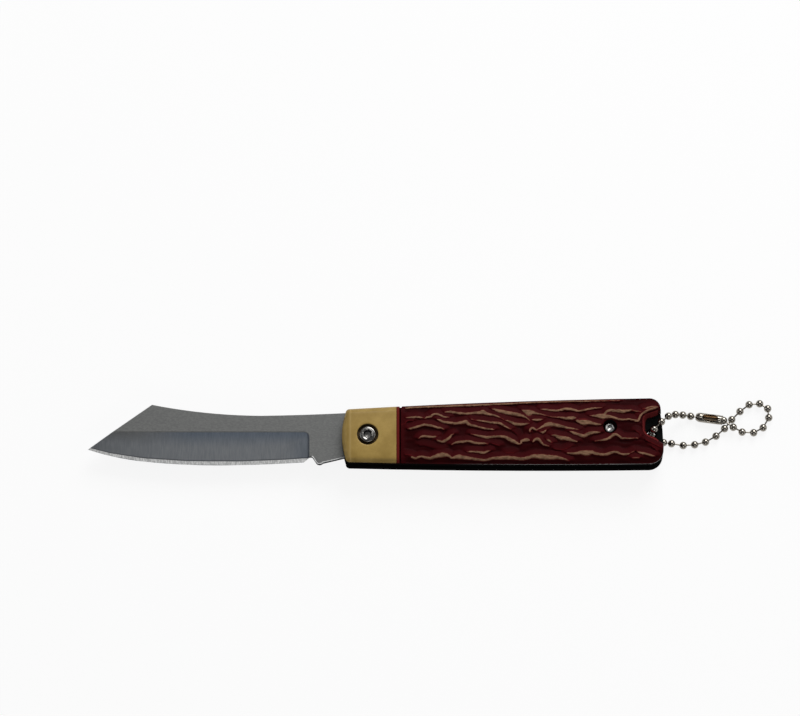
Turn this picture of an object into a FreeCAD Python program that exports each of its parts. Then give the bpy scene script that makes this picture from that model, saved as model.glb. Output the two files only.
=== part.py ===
import FreeCAD, Part
import math
import os
from types import SimpleNamespace

import Sketcher

# Folding pocket knife, slip-joint blade, moulded scales and a ball chain at the tail. Millimetres.
# X runs along the knife with the point towards -X, Y towards the back, Z up out of the front scale.
# The origin is under the middle of the handle, on the rear scale's flat outer face.
# Outlines are measured from the blade's pivot, and each piece is then placed at the pivot.

SIZES = {
    # Layers through the handle
    "scale_thickness": 3.9,
    "liner_thickness": 1.0,
    "blade_thickness": 2.0,
    "washer_thickness": 0.25,
    "side_clearance": 0.05,
    # Handle outline
    "bolster_reach": 8.0,
    "bolster_bow": 1.15,
    "bolster_back_height": 8.25,
    "bolster_belly_depth": 8.65,
    "bolster_corner_radius": 1.2,
    "back_bow": 0.5,
    "belly_bow": 0.45,
    "tail_reach": 92.5,
    "tail_bow": 0.35,
    "tail_lean": 0.8,
    "tail_back_height": 11.75,
    "tail_belly_depth": 9.2,
    "tail_back_radius": 3.4,
    "tail_belly_radius": 4.4,
    "liner_inset": 0.1,
    # Scale details
    "shoulder_radius": 1.5,
    "bolster_bevel_setback": 2.5,
    "bolster_bevel_depth": 1.3,
    "seam_reach": 10.0,
    "seam_width": 0.35,
    "seam_depth": 0.3,
    "notch_rim_width": 7.0,
    "notch_flare": 1.1,
    "notch_back_height": 7.1,
    "notch_belly_depth": 1.05,
    "notch_back_spread": 1.6,
    "notch_belly_spread": 2.15,
    "notch_shoulder": 1.7,
    "notch_corner_bow": 0.45,
    # Blade outline
    "blade_reach": 87.3,
    "tip_drop": 3.63,
    "spine_corner_reach": 67.4,
    "spine_corner_height": 10.5,
    "spine_low_reach": 33.6,
    "spine_low_height": 6.98,
    "spine_front_bow": 0.8,
    "spine_rear_bow": 0.19,
    "edge_drop": 8.55,
    "point_bow": 0.47,
    "belly_edge_bow": 0.5,
    "heel_edge_bow": 0.12,
    "heel_reach": 19.9,
    "heel_drop": 7.68,
    "choil_slope": 1.4,
    "choil_width": 2.95,
    "choil_side_rise": 1.2,
    "choil_bow": 0.5,
    "kick_slope": 0.95,
    "kick_half_width": 1.0,
    "kick_bow": 0.45,
    "tang_front_reach": 7.1,
    "tang_front_drop": 6.3,
    # Blade grinding
    "plunge_reach": 18.2,
    "plunge_round": 1.6,
    "grind_height": 2.0,
    "sharpened_height": 1.1,
    "sharpened_thickness": 0.4,
    "edge_thickness": 0.06,
    # Tang, fold and back spring
    "tang_inset": 0.1,
    "stop_step": 1.5,
    "tang_flat_distance": 6.2,
    "tang_cam_rise": 0.5,
    "closed_flat_length": 2.5,
    "fold_angle": 175.0,
    "spring_clearance": 0.05,
    "stop_clearance": 0.1,
    "spring_land": 3.5,
    "kick_clearance": 0.15,
    "kick_seat_half_length": 3.5,
    "spring_seat_depth": 1.8,
    "spring_waist_reach": 60.0,
    "spring_waist_depth": 4.0,
    "spring_setback": 8.0,
    "spring_tail_depth": 4.15,
    # Pivot
    "pivot_barrel_diameter": 4.0,
    "pivot_bore": 2.56,
    "pivot_screw_length": 4.0,
    "pivot_head_diameter": 5.0,
    "pivot_head_height": 1.8,
    "pivot_head_dome": 0.8,
    "pivot_socket_width": 2.5,
    "pivot_socket_depth": 1.2,
    "pivot_head_clearance": 0.8,
    "pivot_floor_thickness": 2.0,
    "washer_diameter": 9.0,
    # Tail screw
    "tail_screw_setback": 17.0,
    "tail_screw_height": 2.6,
    "tail_barrel_diameter": 3.2,
    "tail_bore": 1.86,
    "tail_screw_length": 2.5,
    "tail_head_diameter": 3.0,
    "tail_head_height": 0.9,
    "tail_head_dome": 0.3,
    "tail_socket_width": 1.5,
    "tail_socket_depth": 0.6,
    "tail_head_clearance": 0.7,
    "tail_floor_thickness": 0.4,
    # Spring pins
    "pin_diameter": 2.0,
    "mid_pin_reach": 40.0,
    "mid_pin_margin": 1.28,
    "tail_pin_setback": 5.0,
    "tail_pin_margin": 2.0,
    # Fits
    "running_clearance": 0.03,
    "screw_hole_clearance": 0.15,
    "cut_overrun": 1.0,
    # Ball chain
    "chain_hole_setback": 4.1,
    "chain_hole_height": 0.77,
    "chain_hole_clearance": 0.5,
    "ball_diameter": 2.4,
    "ball_wall": 0.2,
    "ball_floor_gap": 0.05,
    "link_diameter": 0.5,
    "link_head_diameter": 0.76,
    "link_hole_clearance": 0.05,
    "link_head_offset": 0.58,
    "connector_wall": 0.25,
    "connector_clearance": 0.05,
    "connector_lip": 1.3,
    "connector_gap": 0.3,
    "connector_slit_width": 0.7,
    "connector_window_width": 2.3,
}

# Bow of a quarter round as a share of its radius
ROUND_BOW_SHARE = 1 - math.sqrt(0.5)
# Cutting edge from the plunge to past the point: shares of the blade's reach, of the edge's drop and
# of the sharpened strip's height. The outline's own corners are where it is full and where it bends.
EDGE_FULL_SHARES = (0.4592, 1.0, 1.0)
EDGE_BEND_SHARES = (0.8014, 0.868, 0.9)
EDGE_SHARES = (
    (0.30, 0.937, 1.0),
    EDGE_FULL_SHARES,
    (0.645, 0.988, 1.0),
    EDGE_BEND_SHARES,
    (0.9185, 0.661, 0.75),
    (1.01, 0.40, 0.6),
)
# Round top corner of the plunge: shares of its radius along the blade and down from the grind line
PLUNGE_SHARES = ((0.0, 1.0), (0.15, 0.47), (0.5, 0.13), (1.0, 0.0))
PLUNGE_EDGE_SHARE = 0.883
# Round shoulder of the scales: shares of its radius up and in
SHOULDER_SHARES = ((0.0, 0.0), (0.5, 0.134), (0.866, 0.5), (1.0, 1.0))
# Deepest part of the tail notch: shares of the way from its belly side to its back side
NOTCH_DEEP_SHARES = (0.30, 0.78)
# Connector window: shares of the connector's length
WINDOW_SHARES = (0.25, 0.8)
# Ball centres from the chain hole, in shares of the ball's diameter, then the height as a share of
# the climb from the floor to the front liner. The connector joins the run and the loop.
RUN_BALL_SHARES = (
    (0.000, 0.000, 0.596),
    (0.375, 0.563, 1.006),
    (1.333, 1.554, 1.000),
    (2.292, 2.492, 0.756),
    (3.250, 2.971, 0.426),
    (4.250, 3.096, 0.188),
    (5.292, 3.075, 0.017),
    (6.500, 2.908, 0.040),
)
LOOP_BALL_SHARES = (
    (9.583, 2.463, 0.076),
    (10.833, 1.533, 0.108),
    (12.000, 0.971, 0.000),
    (13.500, 0.888, 0.000),
    (14.750, 1.554, 0.000),
    (15.500, 2.888, 0.000),
    (15.375, 4.096, 0.000),
    (14.333, 4.763, 0.000),
    (12.958, 4.638, 0.000),
    (11.750, 3.721, 0.000),
    (10.667, 2.638, 0.000),
    (9.708, 1.429, 0.000),
    (8.583, 0.429, 0.000),
    (7.208, -0.363, 0.000),
    (5.792, -0.721, 0.000),
    (4.292, -0.821, 0.000),
    (2.771, -0.571, 0.000),
    (1.729, -0.467, 0.040),
    (0.700, 0.000, 0.161),
)
BALL_SHARES = RUN_BALL_SHARES + LOOP_BALL_SHARES
CONNECTED_BALLS = (len(RUN_BALL_SHARES) - 1, len(RUN_BALL_SHARES))


class Size:
    """A length that keeps its value and its formula in the sheet's cells."""

    def __init__(self, formula, number):
        self.formula = formula
        self.number = number

    def combine(self, sign, other, number):
        return Size(f"({self.formula} {sign} {size(other).formula})", number)

    def __add__(self, other):
        return self.combine("+", other, self.number + size(other).number)

    def __sub__(self, other):
        return self.combine("-", other, self.number - size(other).number)

    def __mul__(self, other):
        return self.combine("*", other, self.number * size(other).number)

    def __truediv__(self, other):
        return self.combine("/", other, self.number / size(other).number)

    def __rmul__(self, other):
        return size(other) * self

    def __neg__(self):
        return Size(f"(-1 * {self.formula})", -self.number)


def size(thing):
    """A plain number as a Size; a Size stays as it is."""
    return thing if isinstance(thing, Size) else Size(repr(float(thing)), float(thing))


def root(square):
    return Size(f"sqrt({square.formula})", math.sqrt(square.number))


def sine(angle):
    return Size(f"sin({angle.formula} * 1 deg)", math.sin(math.radians(angle.number)))


def cosine(angle):
    return Size(f"cos({angle.formula} * 1 deg)", math.cos(math.radians(angle.number)))


def turned(x, y, angle):
    """A place turned about the pivot."""
    return x * cosine(angle) - y * sine(angle), x * sine(angle) + y * cosine(angle)


doc = FreeCAD.newDocument("folding_pocket_knife")
sheet = doc.addObject("Spreadsheet::Sheet", "sizes")
for row, (alias, number) in enumerate(SIZES.items(), start=1):
    sheet.set(f"A{row}", alias)
    sheet.set(f"B{row}", str(number))
    sheet.setAlias(f"B{row}", alias)
doc.recompute()

S = SimpleNamespace(**{alias: Size(f"sizes.{alias}", sheet.get(alias)) for alias in SIZES})
ZERO = size(0)
UP = FreeCAD.Vector(0, 0, 1)
NODES = []

# Heights of the layers
slot_width = S.blade_thickness + 2 * (S.washer_thickness + S.side_clearance)
rear_liner_z = S.scale_thickness
slot_z = rear_liner_z + S.liner_thickness
middle_z = slot_z + slot_width / 2
front_liner_z = slot_z + slot_width
front_scale_z = front_liner_z + S.liner_thickness
frame_depth = slot_width + 2 * S.liner_thickness
pivot_x = (S.bolster_reach - S.tail_reach) / 2


def back_line(x):
    """Height of the straight line between the ends of the handle's back."""
    start = S.bolster_bow - S.bolster_reach + S.bolster_corner_radius
    end = S.tail_reach - S.tail_bow - S.tail_lean - S.tail_back_radius
    slope = (S.tail_back_height - S.bolster_back_height) / (end - start)
    return S.bolster_back_height + slope * (x - start)


# Places from the pivot
spring_end = S.tail_reach - S.spring_setback
tail_pin_x = spring_end - S.tail_pin_setback
mid_pin = (S.mid_pin_reach, back_line(S.mid_pin_reach) - S.mid_pin_margin)
tail_pin = (tail_pin_x, back_line(tail_pin_x) - S.tail_pin_margin)
tail_screw = (S.tail_reach - S.tail_screw_setback, S.tail_screw_height)
chain_hole = (S.tail_reach - S.chain_hole_setback, S.chain_hole_height)
# The kick sits under the spring when the blade is folded
kick_reach = S.heel_reach - S.choil_width - S.kick_slope - S.kick_half_width
kick_seat_y = back_line(kick_reach) - S.spring_seat_depth
kick_drop = (kick_reach * sine(S.fold_angle) + kick_seat_y - S.kick_clearance) / -cosine(S.fold_angle)


def bind(thing, name, length):
    thing.setExpression(name, length.formula)


def place(thing, x, y, z):
    """Places a piece by a point measured from the pivot."""
    bind(thing, "Placement.Base.x", pivot_x + x)
    bind(thing, "Placement.Base.y", y)
    bind(thing, "Placement.Base.z", z)


def new_body(label, x, y, z):
    body = doc.addObject("PartDesign::Body", label)
    body.Label = label
    place(body, x, y, z)
    NODES.append(body)
    return body


def new_sketch(body, name, role="XY_Plane", offset=ZERO):
    sketch = body.newObject("Sketcher::SketchObject", name)
    plane = next(feature for feature in body.Origin.OriginFeatures if feature.Role == role)
    sketch.AttachmentSupport = [(plane, "")]
    sketch.MapMode = "FlatFace"
    bind(sketch, "AttachmentOffset.Base.z", offset)
    return sketch


def constrain(sketch, kind, *where, length):
    index = sketch.addConstraint(Sketcher.Constraint(kind, *where, length.number))
    sketch.setExpression(f"Constraints[{index}]", length.formula)


def pin_point(sketch, geometry, point, x, y):
    constrain(sketch, "DistanceX", -1, 1, geometry, point, length=x)
    constrain(sketch, "DistanceY", -1, 1, geometry, point, length=y)


def bowed_arc(start, end, radius, bow):
    """Arc from start to end; a positive bow bulges to the right of the way."""
    side = math.copysign(1, bow)
    chord = end - start
    left = FreeCAD.Vector(-chord.y, chord.x, 0).normalize()
    rise = math.sqrt(radius**2 - (chord.Length / 2) ** 2)
    centre = (start + end) / 2 + left * rise * side
    angles = [math.atan2(point.y - centre.y, point.x - centre.x) for point in (start, end)]
    if side < 0:
        angles.reverse()
    circle = Part.Circle(centre, UP, radius)
    return Part.ArcOfCircle(circle, *angles)


def draw_outline(sketch, corners):
    """Closed outline; a corner is x, y and, where an arc leads to the next corner, the arc's bow."""
    ends = []
    for index, (x, y, *bow) in enumerate(corners):
        next_x, next_y = corners[(index + 1) % len(corners)][:2]
        start = FreeCAD.Vector(x.number, y.number, 0)
        end = FreeCAD.Vector(next_x.number, next_y.number, 0)
        if not bow:
            ends.append((sketch.addGeometry(Part.LineSegment(start, end)), 1, 2))
            continue
        dx = next_x - x
        dy = next_y - y
        height = bow[0] if bow[0].number > 0 else -bow[0]
        radius = (dx * dx + dy * dy) / (8 * height) + height / 2
        arc = sketch.addGeometry(bowed_arc(start, end, radius.number, bow[0].number))
        constrain(sketch, "Radius", arc, length=radius)
        ends.append((arc, 1, 2) if bow[0].number > 0 else (arc, 2, 1))
    for index, (x, y, *bow) in enumerate(corners):
        edge, first, _ = ends[index]
        before, _, last = ends[index - 1]
        sketch.addConstraint(Sketcher.Constraint("Coincident", before, last, edge, first))
        pin_point(sketch, edge, first, x, y)


def draw_circle(sketch, x, y, diameter):
    centre = FreeCAD.Vector(x.number, y.number, 0)
    circle = Part.Circle(centre, UP, diameter.number / 2)
    geometry = sketch.addGeometry(circle)
    pin_point(sketch, geometry, 3, x, y)
    constrain(sketch, "Diameter", geometry, length=diameter)


def add_pad(body, sketch, name, length, downward=False):
    pad = body.newObject("PartDesign::Pad", name)
    pad.Profile = sketch
    pad.Reversed = downward
    bind(pad, "Length", length)
    return pad


def add_pocket(body, sketch, name, depth, upward=False):
    """Cuts a pocket and makes sure that it took material away."""
    before = body.Shape.Volume
    pocket = body.newObject("PartDesign::Pocket", name)
    pocket.Profile = sketch
    pocket.Reversed = upward
    bind(pocket, "Length", depth)
    doc.recompute()
    if body.Shape.Volume >= before:
        raise RuntimeError(f"{name} cuts nothing from {body.Label}")
    return pocket


def quarter_round(radius):
    return ROUND_BOW_SHARE * radius


def handle_outline(inset):
    """Outline that the scales and liners share, moved in by an inset."""
    front = S.bolster_bow - S.bolster_reach + inset
    front_belly = inset - S.bolster_belly_depth
    front_back = S.bolster_back_height - inset
    tail = S.tail_reach - S.tail_bow - inset
    tail_top = tail - S.tail_lean
    tail_belly = inset - S.tail_belly_depth
    tail_back = S.tail_back_height - inset
    corner = S.bolster_corner_radius
    return (
        (front + corner, front_belly, S.belly_bow),
        (tail - S.tail_belly_radius, tail_belly, quarter_round(S.tail_belly_radius)),
        (tail, tail_belly + S.tail_belly_radius, S.tail_bow),
        (tail_top, tail_back - S.tail_back_radius, quarter_round(S.tail_back_radius)),
        (tail_top - S.tail_back_radius, tail_back, S.back_bow),
        (front + corner, front_back, quarter_round(corner)),
        (front, front_back - corner, S.bolster_bow),
        (front, front_belly + corner, quarter_round(corner)),
    )


def notch_outline(outset):
    """Tail notch that the chain lies in, open past the tail; the outset widens it at the rim."""
    open_end = S.tail_reach + S.cut_overrun
    mouth = S.tail_reach - S.tail_bow
    deep = S.tail_reach - S.notch_rim_width + S.notch_flare - outset
    back = S.notch_back_height - S.notch_flare + outset
    belly = S.notch_flare - S.notch_belly_depth - outset
    span = back - belly
    shoulder = deep + S.notch_shoulder
    return (
        (shoulder + S.notch_shoulder / 2, belly),
        (mouth, belly - S.notch_belly_spread),
        (open_end, belly - S.notch_belly_spread),
        (open_end, back + S.notch_back_spread),
        (mouth, back + S.notch_back_spread),
        (shoulder, back, S.notch_corner_bow),
        (deep, belly + NOTCH_DEEP_SHARES[1] * span),
        (deep, belly + NOTCH_DEEP_SHARES[0] * span, S.notch_corner_bow),
    )


def screw_sizes(prefix):
    """The sizes of one kind of screw, without the prefix of their names."""
    start = f"{prefix}_"
    chosen = {name: length for name, length in vars(S).items() if name.startswith(start)}
    return SimpleNamespace(**{name.removeprefix(start): length for name, length in chosen.items()})


def make_scale(label, z, outward):
    """Handle scale: outline, round shoulder, bolster bevel, seam, screw recesses and tail notch."""
    rear = outward < 0
    outer = outward * S.scale_thickness
    body = new_body(label, ZERO, ZERO, z)
    outline = new_sketch(body, f"{label}_outline")
    draw_outline(outline, handle_outline(ZERO))
    add_pad(body, outline, f"{label}_slab", S.scale_thickness - S.shoulder_radius, downward=rear)
    rings = []
    for number, (rise_share, inset_share) in enumerate(SHOULDER_SHARES, start=1):
        height = S.scale_thickness - S.shoulder_radius + rise_share * S.shoulder_radius
        ring = new_sketch(body, f"{label}_shoulder_ring_{number}", offset=outward * height)
        draw_outline(ring, handle_outline(inset_share * S.shoulder_radius))
        rings.append(ring)
    shoulder = body.newObject("PartDesign::AdditiveLoft", f"{label}_shoulder")
    shoulder.Profile = rings[0]
    shoulder.Sections = rings[1:]
    shoulder.Ruled = True
    doc.recompute()

    reach = S.bolster_reach + S.cut_overrun
    half_span = S.tail_back_height + S.cut_overrun
    above = outward * (S.scale_thickness + S.cut_overrun)
    below = outward * (S.scale_thickness - S.bolster_bevel_depth)
    line = S.bolster_bevel_setback - S.bolster_reach
    bevel = new_sketch(body, f"{label}_bevel_profile", "XZ_Plane", half_span)
    draw_outline(bevel, ((line, outer), (line, above), (-reach, above), (-reach, below)))
    add_pocket(body, bevel, f"{label}_bevel", 2 * half_span)

    seam = new_sketch(body, f"{label}_seam_outline", offset=outer)
    seam_end = S.seam_reach + S.seam_width
    draw_outline(
        seam,
        (
            (S.seam_reach, -half_span),
            (seam_end, -half_span),
            (seam_end, half_span),
            (S.seam_reach, half_span),
        ),
    )
    add_pocket(body, seam, f"{label}_seam", S.seam_depth, upward=rear)

    for name, where in (("pivot", (ZERO, ZERO)), ("tail", tail_screw)):
        screw = screw_sizes(name)
        mouth = new_sketch(body, f"{label}_{name}_recess_outline", offset=outer)
        draw_circle(mouth, *where, screw.head_diameter + 2 * screw.head_clearance)
        depth = S.scale_thickness - screw.floor_thickness
        add_pocket(body, mouth, f"{label}_{name}_recess", depth, upward=rear)
        hole = new_sketch(body, f"{label}_{name}_hole_outline", offset=outer)
        draw_circle(hole, *where, screw.bore + 2 * S.screw_hole_clearance)
        add_pocket(body, hole, f"{label}_{name}_hole", S.scale_thickness, upward=rear)

    floor = new_sketch(body, f"{label}_notch_floor")
    draw_outline(floor, notch_outline(ZERO))
    mouth = new_sketch(body, f"{label}_notch_rim", offset=outer)
    draw_outline(mouth, notch_outline(S.notch_flare))
    notch = body.newObject("PartDesign::SubtractiveLoft", f"{label}_notch")
    notch.Profile = floor
    notch.Sections = [mouth]
    notch.Ruled = True
    doc.recompute()


def make_liner(label, z):
    """Liner plate with the holes of the pivot, tail barrel, spring pins and chain."""
    body = new_body(label, ZERO, ZERO, z)
    plate = new_sketch(body, f"{label}_outline")
    draw_outline(plate, handle_outline(S.liner_inset))
    fit = 2 * S.running_clearance
    draw_circle(plate, ZERO, ZERO, S.pivot_barrel_diameter + fit)
    draw_circle(plate, *tail_screw, S.tail_barrel_diameter + fit)
    draw_circle(plate, *mid_pin, S.pin_diameter + fit)
    draw_circle(plate, *tail_pin, S.pin_diameter + fit)
    draw_circle(plate, *chain_hole, S.ball_diameter + 2 * S.chain_hole_clearance)
    add_pad(body, plate, f"{label}_plate", S.liner_thickness)


def make_ring(label, x, y, z, length, outer, bore=None):
    """Pin, or sleeve or washer where it has a bore."""
    body = new_body(label, x, y, z)
    section = new_sketch(body, f"{label}_section")
    draw_circle(section, ZERO, ZERO, outer)
    if bore is not None:
        draw_circle(section, ZERO, ZERO, bore)
    add_pad(body, section, f"{label}_length", length)


def make_screw(label, x, y, z, screw, downward):
    """Button-head screw with a hex socket; its place is the underside of the head."""
    length = screw.screw_length
    head = screw.head_diameter / 2
    height = screw.head_height
    dome = screw.head_dome
    width = screw.socket_width
    shank = screw.bore - 2 * S.running_clearance
    body = new_body(label, x, y, z)
    if downward:
        body.Placement.Rotation = FreeCAD.Rotation(FreeCAD.Vector(1, 0, 0), 180)
    profile = new_sketch(body, f"{label}_profile", "XZ_Plane")
    draw_outline(
        profile,
        (
            (ZERO, -length),
            (shank / 2, -length),
            (shank / 2, ZERO),
            (head, ZERO),
            (head, height - dome, quarter_round(dome)),
            (head - dome, height),
            (ZERO, height),
        ),
    )
    turning = body.newObject("PartDesign::Revolution", f"{label}_turning")
    turning.Profile = profile
    turning.ReferenceAxis = (profile, ["V_Axis"])
    doc.recompute()

    point = width / math.sqrt(3)
    socket = new_sketch(body, f"{label}_socket_outline", offset=height)
    draw_outline(
        socket,
        (
            (ZERO, -point),
            (width / 2, -point / 2),
            (width / 2, point / 2),
            (ZERO, point),
            (-width / 2, point / 2),
            (-width / 2, -point / 2),
        ),
    )
    add_pocket(body, socket, f"{label}_socket", screw.socket_depth)


def closed_place(x, y):
    """Where a place on the closed tang lies while the blade is open."""
    return turned(x, y, -S.fold_angle)


def blade_outline():
    """Blade and tang: point, edge, choil, kick, closed flat, cam, open flat, stop step and spine."""
    choil_start = S.choil_slope - S.heel_reach
    choil_end = S.choil_width - S.heel_reach
    choil_top = S.choil_side_rise - S.heel_drop
    kick_start = choil_end + S.kick_slope
    kick_side = S.kick_bow - kick_drop
    cam_radius = S.tang_flat_distance + S.tang_cam_rise
    cam_start = root(cam_radius * cam_radius - S.tang_flat_distance * S.tang_flat_distance)
    cam_x, cam_y = closed_place(-cam_start, S.tang_flat_distance)
    flat_x, flat_y = closed_place(S.closed_flat_length, S.tang_flat_distance)
    cam_dx = cam_start - cam_x
    cam_dy = S.tang_flat_distance - cam_y
    cam_half = (cam_dx * cam_dx + cam_dy * cam_dy) / 4
    cam_bow = cam_radius - root(cam_radius * cam_radius - cam_half)
    tang_height = S.bolster_back_height - S.tang_inset
    full_share, full_drop_share, _ = EDGE_FULL_SHARES
    bend_share, bend_drop_share, _ = EDGE_BEND_SHARES
    return (
        (-S.blade_reach, -S.tip_drop, S.point_bow),
        (-bend_share * S.blade_reach, -bend_drop_share * S.edge_drop, S.belly_edge_bow),
        (-full_share * S.blade_reach, -full_drop_share * S.edge_drop, S.heel_edge_bow),
        (-S.heel_reach, -S.heel_drop),
        (choil_start, choil_top, -S.choil_bow),
        (choil_end, choil_top),
        (kick_start, kick_side, S.kick_bow),
        (2 * S.kick_half_width + kick_start, kick_side),
        (-S.tang_front_reach, -S.tang_front_drop),
        (flat_x, flat_y),
        (cam_x, cam_y, cam_bow),
        (cam_start, S.tang_flat_distance),
        (-S.stop_step, S.tang_flat_distance),
        (-S.stop_step, tang_height, -S.spine_rear_bow),
        (-S.spine_low_reach, S.spine_low_height, -S.spine_front_bow),
        (-S.spine_corner_reach, S.spine_corner_height),
    )


def bevel_section(body, name, reach, grind, edge, strip):
    """Section that the grinding takes off one side, across the blade at a reach from the pivot."""
    section = new_sketch(body, name, "YZ_Plane", -reach)
    outside = S.blade_thickness / 2 + S.cut_overrun
    under = edge - S.cut_overrun
    draw_outline(
        section,
        (
            (grind, S.blade_thickness / 2),
            (grind, outside),
            (under, outside),
            (under, S.edge_thickness / 2),
            (edge, S.edge_thickness / 2),
            (edge + strip, S.sharpened_thickness / 2),
        ),
    )
    return section


def make_blade():
    """Blade blank with a pivot hole, ground on both sides down to a sharpened strip."""
    body = new_body("blade", ZERO, ZERO, middle_z)
    blank = new_sketch(body, "blade_blank_outline", offset=-S.blade_thickness / 2)
    draw_outline(blank, blade_outline())
    draw_circle(blank, ZERO, ZERO, S.pivot_barrel_diameter + 2 * S.running_clearance)
    add_pad(body, blank, "blade_blank", S.blade_thickness)
    doc.recompute()
    blank_volume = body.Shape.Volume

    stations = [
        (
            S.plunge_reach + along_share * S.plunge_round,
            S.grind_height - drop_share * S.plunge_round,
            PLUNGE_EDGE_SHARE,
            1.0,
        )
        for along_share, drop_share in PLUNGE_SHARES
    ]
    stations += [
        (reach_share * S.blade_reach, S.grind_height, drop_share, strip_share)
        for reach_share, drop_share, strip_share in EDGE_SHARES
    ]
    sections = [
        bevel_section(
            body,
            f"blade_bevel_section_{number}",
            reach,
            grind,
            -drop_share * S.edge_drop,
            strip_share * S.sharpened_height,
        )
        for number, (reach, grind, drop_share, strip_share) in enumerate(stations, start=1)
    ]
    bevel = body.newObject("PartDesign::SubtractiveLoft", "blade_bevel")
    bevel.Profile = sections[0]
    bevel.Sections = sections[1:]
    bevel.Ruled = True
    doc.recompute()
    if body.Shape.Volume >= blank_volume:
        raise RuntimeError("the bevel cuts nothing from the blade")

    mirror = body.newObject("PartDesign::Mirrored", "blade_other_bevel")
    mirror.Originals = [bevel]
    plane = next(feature for feature in body.Origin.OriginFeatures if feature.Role == "XY_Plane")
    mirror.MirrorPlane = (plane, [""])
    body.Tip = mirror
    doc.recompute()


def make_back_spring():
    """Spring between the liners, with a nose on the tang and a seat for the kick when folded."""
    under = S.tang_flat_distance + S.spring_clearance
    nose = S.stop_clearance - S.stop_step
    flush = 2 * S.liner_inset
    tail_top = S.tail_back_height - flush
    waist = back_line(S.spring_waist_reach) - S.spring_waist_depth
    body = new_body("back_spring", ZERO, ZERO, slot_z + S.side_clearance)
    outline = new_sketch(body, "back_spring_outline")
    draw_outline(
        outline,
        (
            (nose, under),
            (S.spring_land, under),
            (kick_reach - S.kick_seat_half_length, kick_seat_y),
            (kick_reach + S.kick_seat_half_length, kick_seat_y),
            (S.spring_waist_reach, waist),
            (spring_end, tail_top - S.spring_tail_depth),
            (spring_end, tail_top, S.back_bow),
            (nose, S.bolster_back_height - flush),
        ),
    )
    fit = 2 * S.running_clearance
    draw_circle(outline, *mid_pin, S.pin_diameter + fit)
    draw_circle(outline, *tail_pin, S.pin_diameter + fit)
    add_pad(body, outline, "back_spring_plate", slot_width - 2 * S.side_clearance)


def ball_places():
    """Ball centres; the climb runs from the floor to the top of the front liner."""
    radius = S.ball_diameter.number / 2
    floor = radius + S.ball_floor_gap.number
    climb = front_scale_z.number + S.ball_floor_gap.number + radius - floor
    x0 = (pivot_x + chain_hole[0]).number
    y0 = chain_hole[1].number
    step = S.ball_diameter.number
    return [
        FreeCAD.Vector(x0 + x_share * step, y0 + y_share * step, floor + climb_share * climb)
        for x_share, y_share, climb_share in BALL_SHARES
    ]


def aimed(base, direction):
    """Placement whose Z axis points along a direction."""
    return FreeCAD.Placement(base, FreeCAD.Rotation(UP, direction))


def solid(kind, name, placement, **lengths):
    """Part primitive at a placement, with its lengths bound to the sheet."""
    thing = doc.addObject(kind, name)
    thing.Placement = placement
    for key, length in lengths.items():
        bind(thing, key, length)
    return thing


def joined(name, things):
    fuse = doc.addObject("Part::MultiFuse", name)
    fuse.Shapes = things
    return fuse


def cut_from(label, base, tool):
    cut = doc.addObject("Part::Cut", label)
    cut.Label = label
    cut.Base = base
    cut.Tool = tool
    return cut


def make_ball(index, places):
    """Hollow ball with a hole towards each neighbour that it is linked to."""
    label = f"chain_ball_{index + 1:02d}"
    centre = places[index]
    before = index - 1
    after = (index + 1) % len(places)
    way = places[after] - places[before]
    # The poles point sideways and the seam upwards, clear of the holes
    turn = FreeCAD.Rotation(FreeCAD.Vector(), way, way.cross(UP), "ZYX")
    sphere = FreeCAD.Placement(centre, turn)
    outer = solid("Part::Sphere", f"{label}_outside", sphere, Radius=S.ball_diameter / 2)
    tools = [solid("Part::Sphere", f"{label}_inside", sphere, Radius=S.ball_diameter / 2 - S.ball_wall)]
    for neighbour in (before, after):
        if {index, neighbour} == set(CONNECTED_BALLS):
            continue
        hole = solid(
            "Part::Cylinder",
            f"{label}_hole_{neighbour % len(places)}",
            aimed(centre, places[neighbour] - centre),
            Radius=S.link_diameter / 2 + S.link_hole_clearance,
            Height=S.ball_diameter,
        )
        tools.append(hole)
    NODES.append(cut_from(label, outer, joined(f"{label}_hollow", tools)))


def make_link(index, places):
    """Wire link with a head inside each of the two balls that it joins."""
    start = places[index]
    end = places[(index + 1) % len(places)]
    way = (end - start).normalize()
    name = f"chain_link_{index + 1:02d}"
    first = start + way * S.link_head_offset.number
    last = end - way * S.link_head_offset.number
    wire = solid("Part::Cylinder", f"{name}_wire", aimed(first, way), Radius=S.link_diameter / 2)
    wire.Height = (last - first).Length
    heads = [
        solid("Part::Sphere", f"{name}_head_{number}", aimed(centre, way), Radius=S.link_head_diameter / 2)
        for number, centre in enumerate((first, last))
    ]
    return joined(name, [wire, *heads])


def make_connector(places):
    """Sheet-metal coupling: a tube round the two end balls, slit along its top, with a window."""
    start, end = (places[index] for index in CONNECTED_BALLS)
    way = (end - start).normalize()
    foot = start - way * S.connector_lip.number
    length = (end - foot).Length - S.connector_gap.number
    bore = S.ball_diameter / 2 + S.connector_clearance
    radius = bore + S.connector_wall
    tube = solid("Part::Cylinder", "connector_outside", aimed(foot, way), Radius=radius)
    hollow = solid("Part::Cylinder", "connector_inside", aimed(foot, way), Radius=bore)
    tube.Height = length
    hollow.Height = length
    side = UP.cross(way).normalize()
    tools = [hollow]
    cuts = (
        ("slit", S.connector_slit_width, 0, length),
        ("window", S.connector_window_width, WINDOW_SHARES[0] * length, WINDOW_SHARES[1] * length),
    )
    for name, width, low, high in cuts:
        box = doc.addObject("Part::Box", f"connector_{name}")
        bind(box, "Width", width)
        bind(box, "Height", radius)
        box.Length = high - low
        box.Placement = FreeCAD.Placement(
            foot + way * low - side * (width.number / 2),
            FreeCAD.Rotation(way, side, way.cross(side), "XYZ"),
        )
        tools.append(box)
    NODES.append(cut_from("chain_connector", tube, joined("connector_cuts", tools)))


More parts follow.
